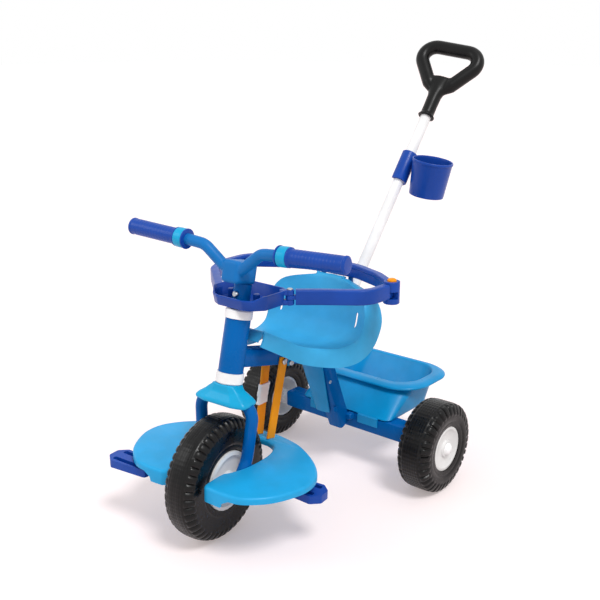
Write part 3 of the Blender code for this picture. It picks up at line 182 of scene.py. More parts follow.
paints = {
    "frame_blue": newFinish("powder_coated_tube_blue", "#0061AC", powderCoat, 0.24, 0.02),
    "white_paint": newFinish("powder_coated_pole_white", "#F8F8F8", powderCoat, 0.28, 0.02),
    "bar_blue": newFinish("moulded_bar_blue", "#0A6EB6", mouldedPlastic, 0.44),
    "sky_blue": newFinish("moulded_seat_sky_blue", "#3AA5D8", mouldedPlastic, 0.42),
    "deck_blue": newFinish("moulded_footrest_blue", "#1EA2DC", mouldedPlastic, 0.38, 0.05),
    "basket_blue": newFinish("moulded_basket_blue", "#0090CC", mouldedPlastic, 0.32, 0.05),
    "navy": newFinish("moulded_polypropylene_navy", "#1045A2", mouldedPlastic, 0.34, 0.05),
    "cyan": newFinish("moulded_collar_cyan", "#0EA4D4", mouldedPlastic, 0.34, 0.05),
    "orange": newFinish("moulded_orange", "#FA9A0C", mouldedPlastic, 0.40),
    "white_plastic": newFinish("moulded_cup_white", "#FAFAFA", mouldedPlastic, 0.34),
    "hub_white": newFinish("moulded_hub_white", "#E2E2E1", mouldedPlastic, 0.38),
    "tyre_black": newFinish("blow_moulded_tyre_black", "#040405", blowMouldedTyre, 0.30),
    "grip_black": newFinish("moulded_grip_black", "#0E0E0E", gripPlastic, 0.34),
    "bare_steel": newFinish("zinc_plated_steel", "#B9BCC1", zincSteel, 0.30),
    "film": newFinish("crumpled_white_film", "#EEF0F2", crumpledFilm, 0.35),
}

slotOfNode = {row["node"]: row["material_slot"] for row in frame["record"]["subparts"]}
for nodeName, nodeObject in frame["nodes"].items():
    paint = "hub_white" if "_hub_" in nodeName else slotOfNode[nodeName]
    nodeObject.data.materials.clear()
    nodeObject.data.materials.append(paints[paint])
print("tricycle: materials ready")

# Frames of reference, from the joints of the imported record

behaviour = frame["record"]["behaviour"]
joints = {row["name"]: row for row in behaviour["joints"]}
bodyOfNode = {node: body for body, nodes in behaviour["bodies"].items() for node in nodes}
steerPlace = Vector(joints["front_wheel_spin"]["pos_m"])
headAxis = Vector(joints["steering"]["axis"]).normalized()
rake = math.atan2(headAxis.y, headAxis.z)
wheelAxis = Vector(joints["front_wheel_spin"]["axis"]).normalized()
sideways = Vector((1.0, 0.0, 0.0))
restSteer = math.atan2(headAxis.dot(sideways.cross(wheelAxis)), sideways.dot(wheelAxis))
raked = Matrix.Rotation(-rake, 4, "X")
steering = Matrix.Translation(steerPlace) @ Matrix.Rotation(restSteer, 4, headAxis)
headLine = steering @ raked
axlePlace = Vector(joints["rear_wheel_left_spin"]["pos_m"])
rearRadius = 91.5 * mm
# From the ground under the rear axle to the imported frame's origin
shift = Matrix.Translation((0.0, axlePlace.y, axlePlace.z - rearRadius))
poleLean = math.atan2(joints["pole_slide"]["axis"][1], joints["pole_slide"]["axis"][2])
quarterTurn = Matrix.Rotation(math.radians(90.0), 4, "Y")
up = Vector((0.0, 0.0, 1.0))
backward = Vector((0.0, 1.0, 0.0))


def axisFrame(origin, direction):
    # A frame at origin with Z along direction and X across it
    z = Vector(direction).normalized()
    x = sideways if abs(z.x) < 0.9 else backward
    x = (x - z * x.dot(z)).normalized()
    y = z.cross(x)
    return Matrix.Translation(origin) @ Matrix((x, y, z)).transposed().to_4x4()


# Outlines and curves


def rounded(points, radius, steps=4, closed=False):
    # A polyline with each inner corner turned into an arc
    points = [Vector(p) for p in points]
    radii = radius if isinstance(radius, (list, tuple)) else [radius] * len(points)
    result = []
    count = len(points)
    for i, point in enumerate(points):
        before = points[i - 1] - point
        after = points[(i + 1) % count] - point
        isEnd = not closed and i in (0, count - 1)
        if isEnd or radii[i] <= 0.0 or before.angle(after) > math.radians(178.0):
            result.append(point)
            continue
        u = before.normalized()
        v = after.normalized()
        opening = u.angle(v)
        trim = min(radii[i] / math.tan(opening / 2.0), 0.48 * before.length, 0.48 * after.length)
        centre = point + (u + v).normalized() * (trim / math.cos(opening / 2.0))
        first = point + u * trim - centre
        last = point + v * trim - centre
        swing = first.angle(last)
        for k in range(steps + 1):
            t = k / steps
            arm = (math.sin((1.0 - t) * swing) * first + math.sin(t * swing) * last) / math.sin(swing)
            result.append(centre + arm)
    return result


def softOutline(points, radius, steps, closed=False):
    # A flat outline or turned profile of (x, y) points with its corners rounded
    return [(p.x, p.y) for p in rounded([(x, y, 0.0) for x, y in points], radius, steps, closed)]


def splineAt(p0, p1, p2, p3, t):
    # Between p1 and p2 on a smooth curve through all four, for numbers and points
    bend = (2.0 * p0 - 5.0 * p1 + 4.0 * p2 - p3) * t * t
    bend += (3.0 * p1 - p0 - 3.0 * p2 + p3) * t * t * t
    return 0.5 * (2.0 * p1 + (p2 - p0) * t + bend)


def smoothLine(points, steps):
    # A smooth curve of (x, y) points through all the given ones
    points = [Vector(p) for p in points]
    last = len(points) - 1
    result = []
    for i in range(last):
        near = [points[min(max(i + k, 0), last)] for k in (-1, 0, 1, 2)]
        result += [splineAt(*near, k / steps) for k in range(steps)]
    result.append(points[-1])
    return [(p.x, p.y) for p in result]


def circle(radius, steps=32):
    turn = 2.0 * math.pi / steps
    return [(radius * math.cos(turn * i), radius * math.sin(turn * i)) for i in range(steps)]


def inset(outline, distance):
    # Moves a closed counter-clockwise outline inwards
    result = []
    for i, (x, y) in enumerate(outline):
        ax, ay = outline[i - 1]
        bx, by = outline[(i + 1) % len(outline)]
        tangent = Vector((bx - ax, by - ay)).normalized()
        result.append((x - tangent.y * distance, y + tangent.x * distance))
    return result


def mirrored(points):
    return list(points) + [(-x, y) for x, y in reversed(points)]


def bothSides(half):
    # A path from the right side to the left one, of which only the left half is given
    return [Vector((-x, y, z)) for x, y, z in reversed(half)] + half


def level(outline, height):
    # A flat outline laid at a height
    return [Vector((x, y, height)) for x, y in outline]


# Meshes


def turned(profile, steps=72, closed=False):
    # Turns (radius, height) points round Z; a profile that changes on its way is a function of the angle
    bm = bmesh.new()
    rows = []
    for i in range(steps):
        angle = 2.0 * math.pi * i / steps
        points = profile(angle) if callable(profile) else profile
        rows.append([bm.verts.new((r * math.cos(angle), r * math.sin(angle), h)) for r, h in points])
    for a, b in zip(rows, rows[1:] + rows[:1]):
        for k in range(len(a) if closed else len(a) - 1):
            n = (k + 1) % len(a)
            bm.faces.new((a[k], b[k], b[n], a[n]))
    bmesh.ops.remove_doubles(bm, verts=bm.verts, dist=0.00001)
    return bm


def loft(rings):
    # A skin over a row of rings, closed at both ends
    bm = bmesh.new()
    rows = [[bm.verts.new(point) for point in ring] for ring in rings]
    for low, high in zip(rows, rows[1:]):
        for i in range(len(low)):
            j = (i + 1) % len(low)
            bm.faces.new((low[i], low[j], high[j], high[i]))
    bm.faces.new(rows[0])
    bm.faces.new(rows[-1])
    return bm


def sweep(path, section, fixed, scales=None):
    # Carries a section along a path: its first axis lies across, its second along fixed
    rings = []
    count = len(path)
    for i, point in enumerate(path):
        before = path[max(i - 1, 0)]
        after = path[min(i + 1, count - 1)]
        tangent = ((point - before).normalized() + (after - point).normalized()).normalized()
        high = (fixed - tangent * fixed.dot(tangent)).normalized()
        side = tangent.cross(high)
        k = scales[i] if scales else 1.0
        rings.append([point + side * (a * k) + high * (b * k) for a, b in section])
    return loft(rings)


def extruded(profile, ends):
    # A flat (y, z) profile drawn out sideways between two ends
    return loft([[Vector((x, y, z)) for y, z in profile] for x in ends])


def placed(bm, matrix):
    bm.transform(matrix)
    return bm


def block(size, centre):
    bm = bmesh.new()
    bmesh.ops.create_cube(bm, size=1.0)
    return placed(bm, Matrix.Translation(centre) @ Matrix.Diagonal((*size, 1.0)))


def softBlock(size, centre, radius, segments=4):
    bm = block(size, centre)
    bmesh.ops.bevel(bm, geom=bm.edges, offset=radius, segments=segments, profile=0.5, affect="EDGES")
    return bm


def rod(radius, low, high, steps=48, edge=0.6 * mm):
    side = [(radius - edge, low), (radius, low + edge), (radius, high - edge), (radius - edge, high)]
    return turned([(0.0, low), *side, (0.0, high)], steps)


def meshOf(bm, name):
    mesh = bpy.data.meshes.new(name)
    bm.to_mesh(mesh)
    bm.free()
    return mesh


def merged(*meshes):
    # Several meshes as one
    whole = bmesh.new()
    for bm in meshes:
        part = meshOf(bm, "part")
        whole.from_mesh(part)
        bpy.data.meshes.remove(part)
    return whole


def inScene(name, data):
    thing = bpy.data.objects.new(name, data)
    bpy.context.scene.collection.objects.link(thing)
    return thing


def roundEdges(piece, width, angle):
    edge = piece.modifiers.new("edges", "BEVEL")
    edge.width = width
    edge.segments = 3
    edge.limit_method = "ANGLE"
    edge.angle_limit = math.radians(angle)
    edge.harden_normals = True


def newPiece(name, bm, paint, body, matrix, bevel, sharp):
    # One visible piece that rides on a body
    bmesh.ops.recalc_face_normals(bm, faces=bm.faces)
    mesh = meshOf(bm, name)
    mesh.materials.append(paints[paint])
    mesh.shade_smooth()
    mesh.set_sharp_from_angle(angle=math.radians(sharp))
    mesh.transform(matrix)
    piece = inScene(name, mesh)
    if bevel:
        roundEdges(piece, bevel, 32.0)
    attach(piece, body)
    return piece


def dressed(node, bm, matrix=shift, sharp=38.0, ending="_shape"):
    # A piece that stands for a CAD node, with the node's paint and body
    piece = newPiece(node + ending, bm, slotOfNode[node], bodyOfNode[node], matrix, 0.0, sharp)
    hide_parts(node)
    return piece


def added(name, bm, paint, body="frame_body", matrix=shift, bevel=0.0, sharp=38.0):
    # A piece that no CAD node has
    piece = newPiece(name, bm, paint, body, matrix, bevel, sharp)
    return piece


def applied(piece):
    # The piece's mesh with its modifiers worked into it
    graph = bpy.context.evaluated_depsgraph_get()
    return bpy.data.meshes.new_from_object(piece.evaluated_get(graph))


def cutBy(piece, bm, matrix=shift, solver="EXACT"):
    # Takes a shape away from a piece, before its edges are rounded
    bmesh.ops.recalc_face_normals(bm, faces=bm.faces)
    mesh = meshOf(bm, piece.name + "_cutter")
    mesh.transform(matrix)
    cutter = inScene(mesh.name, mesh)
    cut = piece.modifiers.new("cut", "BOOLEAN")
    cut.operation = "DIFFERENCE"
    cut.solver = solver
    cut.object = cutter
    done = applied(piece)
    piece.modifiers.remove(cut)
    piece.data = done
    bpy.data.objects.remove(cutter, do_unlink=True)


def flowedTogether(piece, voxel, rounds):
    # Parts that overlap become one moulded body with soft inner corners
    whole = piece.modifiers.new("whole", "REMESH")
    whole.mode = "VOXEL"
    whole.voxel_size = voxel
    ease = piece.modifiers.new("ease", "SMOOTH")
    ease.factor = 0.6
    ease.iterations = rounds
    done = applied(piece)
    piece.modifiers.clear()
    piece.data = done
    done.shade_smooth()


def smoothAgain(piece, angle):
    piece.data.shade_smooth()
    piece.data.set_sharp_from_angle(angle=math.radians(angle))


# Kept CAD nodes: welded, and smoothed by angle


def smoothGroup(angle):
    group = bpy.data.node_groups.new("smooth_by_angle", "GeometryNodeTree")
    for way in ("INPUT", "OUTPUT"):
        group.interface.new_socket("Geometry", in_out=way, socket_type="NodeSocketGeometry")
    source = addNode(group, "NodeGroupInput")
    links = {"Geometry": source.outputs[0]}
    weld = addNode(group, "GeometryNodeMergeByDistance", {"Distance": 0.02 * mm}, links)
    links = {"Geometry": weld.outputs[0]}
    soft = addNode(group, "GeometryNodeSetShadeSmooth", {"Shade Smooth": True}, links)
    edge = addNode(group, "GeometryNodeInputMeshEdgeAngle")
    settings = {"operation": "GREATER_THAN", 1: angle}
    steep = addNode(group, "FunctionNodeCompare", settings, {0: edge.outputs[0]})
    links = {"Geometry": soft.outputs[0], "Selection": steep.outputs[0]}
    crisp = addNode(group, "GeometryNodeSetShadeSmooth", {"domain": "EDGE", "Shade Smooth": False}, links)
    addNode(group, "NodeGroupOutput", None, {"Geometry": crisp.outputs[0]})
    return group


keptSmoothing = smoothGroup(math.radians(38.0))
for nodeObject in frame["nodes"].values():
    smoothing = nodeObject.modifiers.new("smoothing", "NODES")
    smoothing.node_group = keptSmoothing

# Tyres: open C sections with ribs round the crown and blocks on the shoulders

tyreLook = {
    "front": {"radius": 115 * mm, "width": 66 * mm, "bead": 54.9 * mm, "flat": 9.9 * mm, "blocks": 46},
    "rear": {"radius": 91.5 * mm, "width": 72.7 * mm, "bead": 45.6 * mm, "flat": 20 * mm, "blocks": 36},
    "wall": 9 * mm,
    "steps": 276,
    "spacing": 1.9 * mm,
    "shoulder": 0.275,  # from the middle, as a share of the width
    "ribPitch": 0.075,
    "ribDepth": 0.7 * mm,
    "rippleDepth": 0.5 * mm,
    "channelDepth": 1.7 * mm,
    "blockDepth": 3 * mm,
    "wallDepth": 1.6 * mm,
    "blockLength": 15.5 * mm,
    "beadDepth": 1 * mm,
}


def smoothStep(low, high, value):
    t = min(1.0, max(0.0, (value - low) / (high - low)))
    return t * t * (3.0 - 2.0 * t)


def resampled(points, spacing):
    # The same curve with points an even distance apart
    lengths = [0.0]
    for a, b in zip(points, points[1:]):
        lengths.append(lengths[-1] + (b - a).length)
    count = max(2, round(lengths[-1] / spacing))
    result = []
    k = 0
    for i in range(count + 1):
        goal = lengths[-1] * i / count
        while k < len(points) - 2 and lengths[k + 1] < goal:
            k += 1
        share = (goal - lengths[k]) / max(lengths[k + 1] - lengths[k], 1e-9)
        result.append(points[k].lerp(points[k + 1], share))
    return result


def treadDepth(look, angle, r, h):
    # How far the skin lies under the tyre's outer form
    side = abs(h)
    phase = (angle * look["blocks"] / (2.0 * math.pi)) % 1.0
    start = look["width"] * tyreLook["shoulder"]
    crown = 1.0 - smoothStep(start - 4 * mm, start - 1 * mm, side)
    ribs = 0.5 - 0.5 * math.cos(2.0 * math.pi * side / (look["width"] * tyreLook["ribPitch"]))
    ripples = 0.5 + 0.5 * math.cos(2.0 * look["blocks"] * angle)
    channel = tyreLook["channelDepth"] * math.exp(-(((side - start) / (1.7 * mm)) ** 2))
    # The blocks end on a scalloped line part of the way down the side wall
    end = look["radius"] - tyreLook["blockLength"] - 5 * mm * math.cos(math.pi * (phase - 0.5))
    above = smoothStep(end - 1.6 * mm, end + 1.6 * mm, r)
    gap = smoothStep(0.30, 0.41, abs(phase - 0.5))
    blocks = above * gap * tyreLook["blockDepth"] + (1.0 - above) * tyreLook["wallDepth"]
    bead = tyreLook["beadDepth"] * math.exp(-(((r - look["bead"] - 10 * mm) / (1.5 * mm)) ** 2))
    depth = crown * (ribs * tyreLook["ribDepth"] + ripples * tyreLook["rippleDepth"])
    return depth + channel + smoothStep(start, start + 3 * mm, side) * blocks + bead


def treadTyre(node, kind, place):
    look = tyreLook[kind]
    radius = look["radius"]
    half = look["width"] / 2.0
    flat = look["flat"]
    rim = half - 4 * mm
    wall = tyreLook["wall"]
    key = [
        (radius, 0.0),
        (radius, flat * 0.6),
        (radius - 0.4 * mm, flat),
        (radius - 3.5 * mm, flat + 0.50 * (half - flat)),
        (radius - 13.5 * mm, half - 2.5 * mm),
        (radius - 26 * mm, half),
        (look["bead"] + 4 * mm, rim + 1 * mm),
        (look["bead"], rim),
    ]
    curve = [Vector(p) for p in smoothLine(key, 12)]
    near = resampled(curve, tyreLook["spacing"])
    outer = [(p.x, -p.y) for p in reversed(near[1:])] + [(p.x, p.y) for p in near]
    inner = [(look["bead"], rim - wall - 2 * mm), (radius - wall, rim - wall)]
    inner += [(r, -h) for r, h in reversed(inner)]

    def treadAt(angle):
        ring = []
        for k, (r, h) in enumerate(outer):
            a = outer[max(k - 1, 0)]
            b = outer[min(k + 1, len(outer) - 1)]
            normal = Vector((b[1] - a[1], a[0] - b[0])).normalized()
            depth = treadDepth(look, angle, r, h)
            ring.append((r - normal.x * depth, h - normal.y * depth))
        return ring + inner

    dressed(node, turned(treadAt, tyreLook["steps"], True), place @ quarterTurn, 50.0)


treadTyre("front_tyre", "front", steering)
for sideName in ("left", "right"):
    rearPlace = Vector(joints["rear_wheel_%s_spin" % sideName]["pos_m"])
    low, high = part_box("rear_tyre_" + sideName)
    rearPlace.x = (low.x + high.x) / 2.0
    treadTyre("rear_tyre_" + sideName, "rear", Matrix.Translation(rearPlace))
print("tricycle: tyres ready")

# Fork, crown cover and stem

forkLook = {
    "tubeRadius": 11 * mm,
    "shoulderHalf": 60 * mm,
    "legHalf": 50 * mm,
    "crownHeight": 146 * mm,
    "legRise": 26 * mm,
    "legBreak": 36 * mm,
    "bend": 30 * mm,
    "steerer": (12.5 * mm, 388 * mm),  # radius, top
    "eye": (14.5 * mm, 40.5 * mm, 59.5 * mm),  # radius, inner and outer face
    "saddle": (0.032, 0.024, 0.004),
    "saddlePlace": (0.070, 0.020, 0.0257),
}


def headPoint(x, forward, height):
    return raked @ Vector((x, -forward, height))


def forkPath(steps):
    crown = headPoint(0.0, 0.0, forkLook["crownHeight"])
    half = [
        Vector((forkLook["shoulderHalf"], crown.y, crown.z)),
        Vector((forkLook["legHalf"], forkLook["legRise"], forkLook["legBreak"])),
        Vector((forkLook["legHalf"], 0.0, 0.0)),
    ]
    return rounded(bothSides(half), forkLook["bend"], steps)


def fork():
    radius, top = forkLook["steerer"]
    parts = [
        sweep(forkPath(14), circle(forkLook["tubeRadius"]), backward),
        placed(rod(radius, forkLook["crownHeight"], top), raked),
    ]
    radius, inner, outer = forkLook["eye"]
    x, y, z = forkLook["saddlePlace"]
    for s in (-1.0, 1.0):
        parts.append(placed(rod(radius, *sorted((s * inner, s * outer))), quarterTurn))
        parts.append(softBlock(forkLook["saddle"], (s * x, y, z), 1 * mm))
    dressed("fork", merged(*parts), steering)


fork()

coverLook = {
    "plan": [(0.030, -0.030), (0.056, -0.023), (0.056, 0.013), (0.030, 0.028)],
    "corner": 9 * mm,
    # (scale of the plan, height): the rim, then the slope up to the head
    "rows": [
        (0.975, 0.1395), (0.99, 0.1387), (1.0, 0.1405), (1.0, 0.1420), (0.985, 0.1438), (0.90, 0.1485),
        (0.70, 0.1555), (0.60, 0.1610),
    ],
    "top": 171.6 * mm,
    "lean": 0.34,  # how much deeper than wide the plan stays at the collar
    "collar": [(-3.5 * mm, 0.45), (-0.8 * mm, 0.43), (0.0, 0.40)],
}


def crownCover():
    middle = headPoint(0.0, 0.0, forkLook["crownHeight"]).y
    plan = softOutline(mirrored(coverLook["plan"]), coverLook["corner"], 5, True)
    rings = []
    for scale, height in coverLook["rows"]:
        rings.append(level([(x * scale, middle + y * scale) for x, y in plan], height))
    for lift, wide in coverLook["collar"]:
        deep = wide + coverLook["lean"]
        height = coverLook["top"] + lift
        rings.append([headPoint(x * wide, -y * deep, height) for x, y in plan])
    dressed("crown_cover", loft(rings), steering, 60.0)


crownCover()

stemLook = {"radius": 16 * mm, "low": 306.1 * mm, "high": 351.7 * mm}

dressed("stem", rod(stemLook["radius"], stemLook["low"], stemLook["high"]), headLine)

# Handlebar and grips

barLook = {
    "radius": 10.5 * mm,
    "forward": 48.5 * mm,
    "root": [(0.010, -0.035, 0.376), (0.020, -0.035, 0.379)],
    "bendHalf": 60 * mm,
    "bendHeight": 410.5 * mm,
    "bends": [0.0, 0.05, 0.030, 0.02, 0.0, 0.0, 0.02, 0.030, 0.05, 0.0],
    "gripInner": 97.5 * mm,
    "gripOuter": 228.6 * mm,
    "gripHeight": 419 * mm,
    "gripRadius": 15 * mm,
    "collarRadius": 17.8 * mm,
    "collarWidth": 18 * mm,
    "block": (0.036, 0.046, 0.040),
    "blockPlace": (0.0, -0.023, 0.372),
    "boss": (20 * mm, 352 * mm, 392 * mm),
    "swells": 14,
    "swellDepth": 0.15 * mm,
}


def handlebar():
    forward = barLook["forward"]
    half = [
        *barLook["root"],
        (barLook["bendHalf"], -forward + 0.003, barLook["bendHeight"]),
        (barLook["gripInner"], -forward, barLook["bendHeight"] + 0.003),
        (barLook["gripOuter"] - 0.010, -forward, barLook["gripHeight"] - 0.0005),
    ]
    path = rounded(bothSides(half), barLook["bends"], 8)
    parts = [
        sweep(path, circle(barLook["radius"], 28), backward),
        rod(*barLook["boss"], 56, 3 * mm),
        softBlock(barLook["block"], barLook["blockPlace"], 6 * mm, 5),
    ]
    flowedTogether(dressed("handlebar", merged(*parts), headLine), 1.6 * mm, 10)


handlebar()


def grip(sideName, sign):
    start = Vector((sign * barLook["gripInner"], -barLook["forward"], barLook["bendHeight"] + 0.003))
    end = Vector((sign * barLook["gripOuter"], -barLook["forward"], barLook["gripHeight"]))
    length = (end - start).length
    place = headLine @ axisFrame(start, end - start)
    r = barLook["gripRadius"]
    wide = barLook["collarRadius"]
    flange = 3 * mm
    second = flange + barLook["collarWidth"] + 0.6 * mm
    profile = [(0.0, 0.0), (wide + 0.0006, 0.0), (wide + 0.0006, flange), (wide - 0.005, flange)]
    profile += [(wide - 0.005, second), (wide - 0.0004, second), (wide - 0.0004, second + 0.0025)]
    profile.append((r, second + 0.004))
    # Shallow finger swells along the grip
    count = 40
    for i in range(1, count):
        t = i / count
        swell = math.cos(t * 2.0 * math.pi * barLook["swells"]) - 1.0
        profile.append((r + barLook["swellDepth"] * swell, second + 0.008 + t * (length - 0.018 - second)))
    profile += [(r - 0.0004, length - 0.006), (r + 0.0006, length - 0.0045), (r + 0.0004, length - 0.002)]
    profile += [(r - 0.0025, length), (0.0, length)]
    dressed("grip_" + sideName, turned(softOutline(profile, 0.6 * mm, 2), 56), place)
    low = flange + 0.3 * mm
    high = low + barLook["collarWidth"]
    collar = [(wide - 0.0047, low), (wide, low), (wide, high), (wide - 0.0047, high)]
    dressed("bar_collar_" + sideName, turned(softOutline(collar, 1.6 * mm, 4, True), 56, True), place)


grip("left", 1.0)
grip("right", -1.0)
print("tricycle: fork and handlebar ready")

# Seat: one smooth moulded shell

seatLook = {
    "spine": [
        (-0.304, 0.366), (-0.280, 0.3475), (-0.250, 0.3290), (-0.205, 0.3145), (-0.165, 0.3060),
        (-0.128, 0.3100), (-0.103, 0.3310), (-0.088, 0.3650), (-0.077, 0.3960), (-0.070, 0.4160),
    ],
    "widths": [0.032, 0.058, 0.074, 0.090, 0.104, 0.113, 0.117, 0.116, 0.095, 0.030],
    "lifts": [0.000, 0.003, 0.004, 0.005, 0.009, 0.014, 0.020, 0.026, 0.022, 0.002],
    "skirts": [0.026, 0.027, 0.028, 0.030, 0.033, 0.037, 0.042, 0.044, 0.030, 0.012],
    # (out, share of the skirt, and more down) from the skirt's hem up to the rim
    "hem": [
        (0.0065, 1.0, 0.0), (0.0062, 0.75, 0.0), (0.0055, 0.5, 0.0), (0.0045, 0.25, 0.001),
        (0.0030, 0.0, 0.0035), (0.0012, 0.0, 0.0008),
    ],
    # (out, down) over the nose and over the top of the back
    "noseRoll": [(0.005, 0.020), (0.0048, 0.012), (0.0042, 0.006), (0.003, 0.002), (0.0012, 0.0004)],
    "backRoll": [(0.005, 0.012), (0.0048, 0.008), (0.0042, 0.005), (0.003, 0.002), (0.0012, 0.0004)],
    "thickness": 3 * mm,
    "rows": 56,
    "columns": 30,
    "spread": 0.85,  # below 1, the columns lie wider apart in the middle
    "rollEase": 0.35,  # how much less the rolls reach at the sides
    "slot": (0.006, 0.060, 0.046),
    "slotPlace": (0.0935, -0.085, 0.347),
    "cheek": (0.003, 0.014, 0.0388),
    "cheekPlace": (0.0181, -0.2165, 0.2972),
}


def sampled(values, t):
    spot = t * (len(values) - 1)
    i = min(int(spot), len(values) - 2)
    near = [values[max(0, min(len(values) - 1, i + k))] for k in (-1, 0, 1, 2)]
    return splineAt(*near, spot - i)


def spinePoint(t):
    return Vector((0.0, *(sampled([p[k] for p in seatLook["spine"]], t) for k in (0, 1))))


def seatInward(t):
    tangent = (spinePoint(min(1.0, t + 0.02)) - spinePoint(max(0.0, t - 0.02))).normalized()
    return tangent, Vector((0.0, -tangent.z, tangent.y))


def seatPoint(share, t, out=0.0, down=0.0):
    inward = seatInward(t)[1]
    point = spinePoint(t)
    point.x = sampled(seatLook["widths"], t) * share + math.copysign(out, share)
    return point + inward * (sampled(seatLook["lifts"], t) * share * share - down)


def seatRow(t):
    # One row of the skin: skirt, pan and skirt again
    columns = seatLook["columns"]
    shares = [2.0 * k / columns - 1.0 for k in range(columns + 1)]
    skirt = sampled(seatLook["skirts"], t)
    folds = [(out, share * skirt + more) for out, share, more in seatLook["hem"]]
    row = [seatPoint(-1.0, t, out, down) for out, down in folds]
    row += [seatPoint(math.copysign(abs(s) ** seatLook["spread"], s), t) for s in shares]
    return row + [seatPoint(1.0, t, out, down) for out, down in reversed(folds)]


def seatRoll(row, t, side, rolls):
    # The rows that roll over the nose or over the top of the back
    tangent, inward = seatInward(t)
    hem = len(seatLook["hem"])
    middle = (len(row) - 1) / 2.0
    result = []
    for reach, drop in rolls:
        line = []
        for k, point in enumerate(row):
            away = abs(k - middle) / middle
            hang = drop if hem <= k < len(row) - hem else 0.0
            out = side * reach * (1.0 - seatLook["rollEase"] * away)
            line.append(point + tangent * out - inward * hang)
        result.append(line)
    return result


def seat():
    grid = [seatRow(i / seatLook["rows"]) for i in range(seatLook["rows"] + 1)]
    nose = seatRoll(grid[0], 0.0, -1.0, seatLook["noseRoll"])
    back = seatRoll(grid[-1], 1.0, 1.0, seatLook["backRoll"])
    bm = bmesh.new()
    verts = [[bm.verts.new(p) for p in row] for row in nose + grid + back[::-1]]
    for low, high in zip(verts, verts[1:]):
        for k in range(len(low) - 1):
            bm.faces.new((low[k], low[k + 1], high[k + 1], high[k]))
    skin = inScene("seat_skin", meshOf(bm, "seat_skin"))
    shell = skin.modifiers.new("shell", "SOLIDIFY")
    shell.thickness = seatLook["thickness"]
    shell.offset = 1.0
    shell.use_even_offset = True
    solid = bmesh.new()
    solid.from_mesh(applied(skin))
    bpy.data.objects.remove(skin, do_unlink=True)
    piece = dressed("seat", solid)
    cheeks = []
    for s in (-1.0, 1.0):
        x, y, z = seatLook["slotPlace"]
        cutBy(piece, softBlock(seatLook["slot"], (s * x, y, z), 2.6 * mm, 4))
        x, y, z = seatLook["cheekPlace"]
        cheeks.append(softBlock(seatLook["cheek"], (s * x, y, z), 0.8 * mm, 2))
    added("seat_cheeks", merged(*cheeks), "sky_blue")
    roundEdges(piece, 0.8 * mm, 40.0)


seat()
print("tricycle: seat ready")

# Basket: a smooth tub with a wide rolled lip

basketLook = {
    # Half width, front, back, front corner radius, rear corner radius
    "floorPlan": (0.1145, -0.0203, 0.1500, 0.016, 0.045),
    "wallPlan": (0.1155, 0.0366, 0.1855, 0.050, 0.052),
    "lipPlan": (0.1400, 0.0230, 0.1960, 0.065, 0.055),
    "mouthPlan": (0.1120, 0.0497, 0.1820, 0.052, 0.050),
    "insidePlan": (0.1115, -0.0088, 0.1465, 0.014, 0.042),
    "under": 116.3 * mm,
    "lip": 171.5 * mm,
    "rim": 178 * mm,
    "floor": 3 * mm,
    "tabSpan": (38 * mm, 88 * mm),
    "tabFoot": 99 * mm,
}


def planRing(planName, step, height):
    half, front, back, near, far = basketLook[planName]
    corners = [(half, front), (half, back), (-half, back), (-half, front)]
    return level(inset(softOutline(corners, [near, far, far, near], 12, True), step), height)


def blended(first, second, share):
    return [a.lerp(b, share) for a, b in zip(first, second)]


def between(first, second, count=8):
    return [blended(first, second, k / count) for k in range(1, count)]


def basket():
    low = basketLook["under"]
    lip = basketLook["lip"]
    rim = basketLook["rim"]
    floor = low + basketLook["floor"]
    foot = planRing("floorPlan", 0.0, floor)
    wall = planRing("wallPlan", 0.0, lip - 0.0030)
    under = planRing("lipPlan", 0.0022, lip - 0.0026)
    crown = planRing("lipPlan", 0.0026, lip + 0.0034)
    top = planRing("mouthPlan", -0.0085, rim - 0.0004)
    mouth = planRing("mouthPlan", 0.0, rim - 0.0038)
    inside = planRing("insidePlan", 0.0, floor + 0.004)
    # From the underside up the wall, over the lip, and down inside to the floor
    rings = [planRing("floorPlan", 0.0035, low), planRing("floorPlan", 0.001, low + 0.0008), foot]
    rings += between(foot, wall) + [wall, blended(wall, under, 0.12), blended(wall, under, 0.92), under]
    rings += [planRing("lipPlan", 0.0006, lip - 0.0018), planRing("lipPlan", 0.0, lip)]
    rings += [planRing("lipPlan", 0.0006, lip + 0.0018), crown]
    for share, rise in ((0.25, 0.0012), (0.5, 0.0016), (0.75, 0.0012)):
        rings.append([p + up * rise for p in blended(crown, top, share)])
    rings.append(top)
    for step, drop in ((-0.0055, 0.0), (-0.0030, 0.0003), (-0.0012, 0.0012)):
        rings.append(planRing("mouthPlan", step, rim - drop))
    rings += [mouth] + between(mouth, inside) + [inside]
    rings += [planRing("insidePlan", 0.0012, floor + 0.0012), planRing("insidePlan", 0.004, floor)]
    dressed("basket", loft(rings), sharp=50.0)
    face = basketLook["floorPlan"][1]
    tabFoot = basketLook["tabFoot"]
    profile = [
        (face, tabFoot), (face, low + 0.0003), (-0.0095, low + 0.0003), (-0.0095, floor + 0.003),
        (-0.0137, floor + 0.003), (face - 0.003, low + 0.001), (face - 0.003, tabFoot),
    ]
    tabs = [extruded(profile, sorted(s * end for end in basketLook["tabSpan"])) for s in (-1.0, 1.0)]
    added("basket_tabs", merged(*tabs), "basket_blue", bevel=0.6 * mm)


basket()
print("tricycle: basket ready")

# The bracket folded down the front of the beam: a broad plate with its outer edge turned back

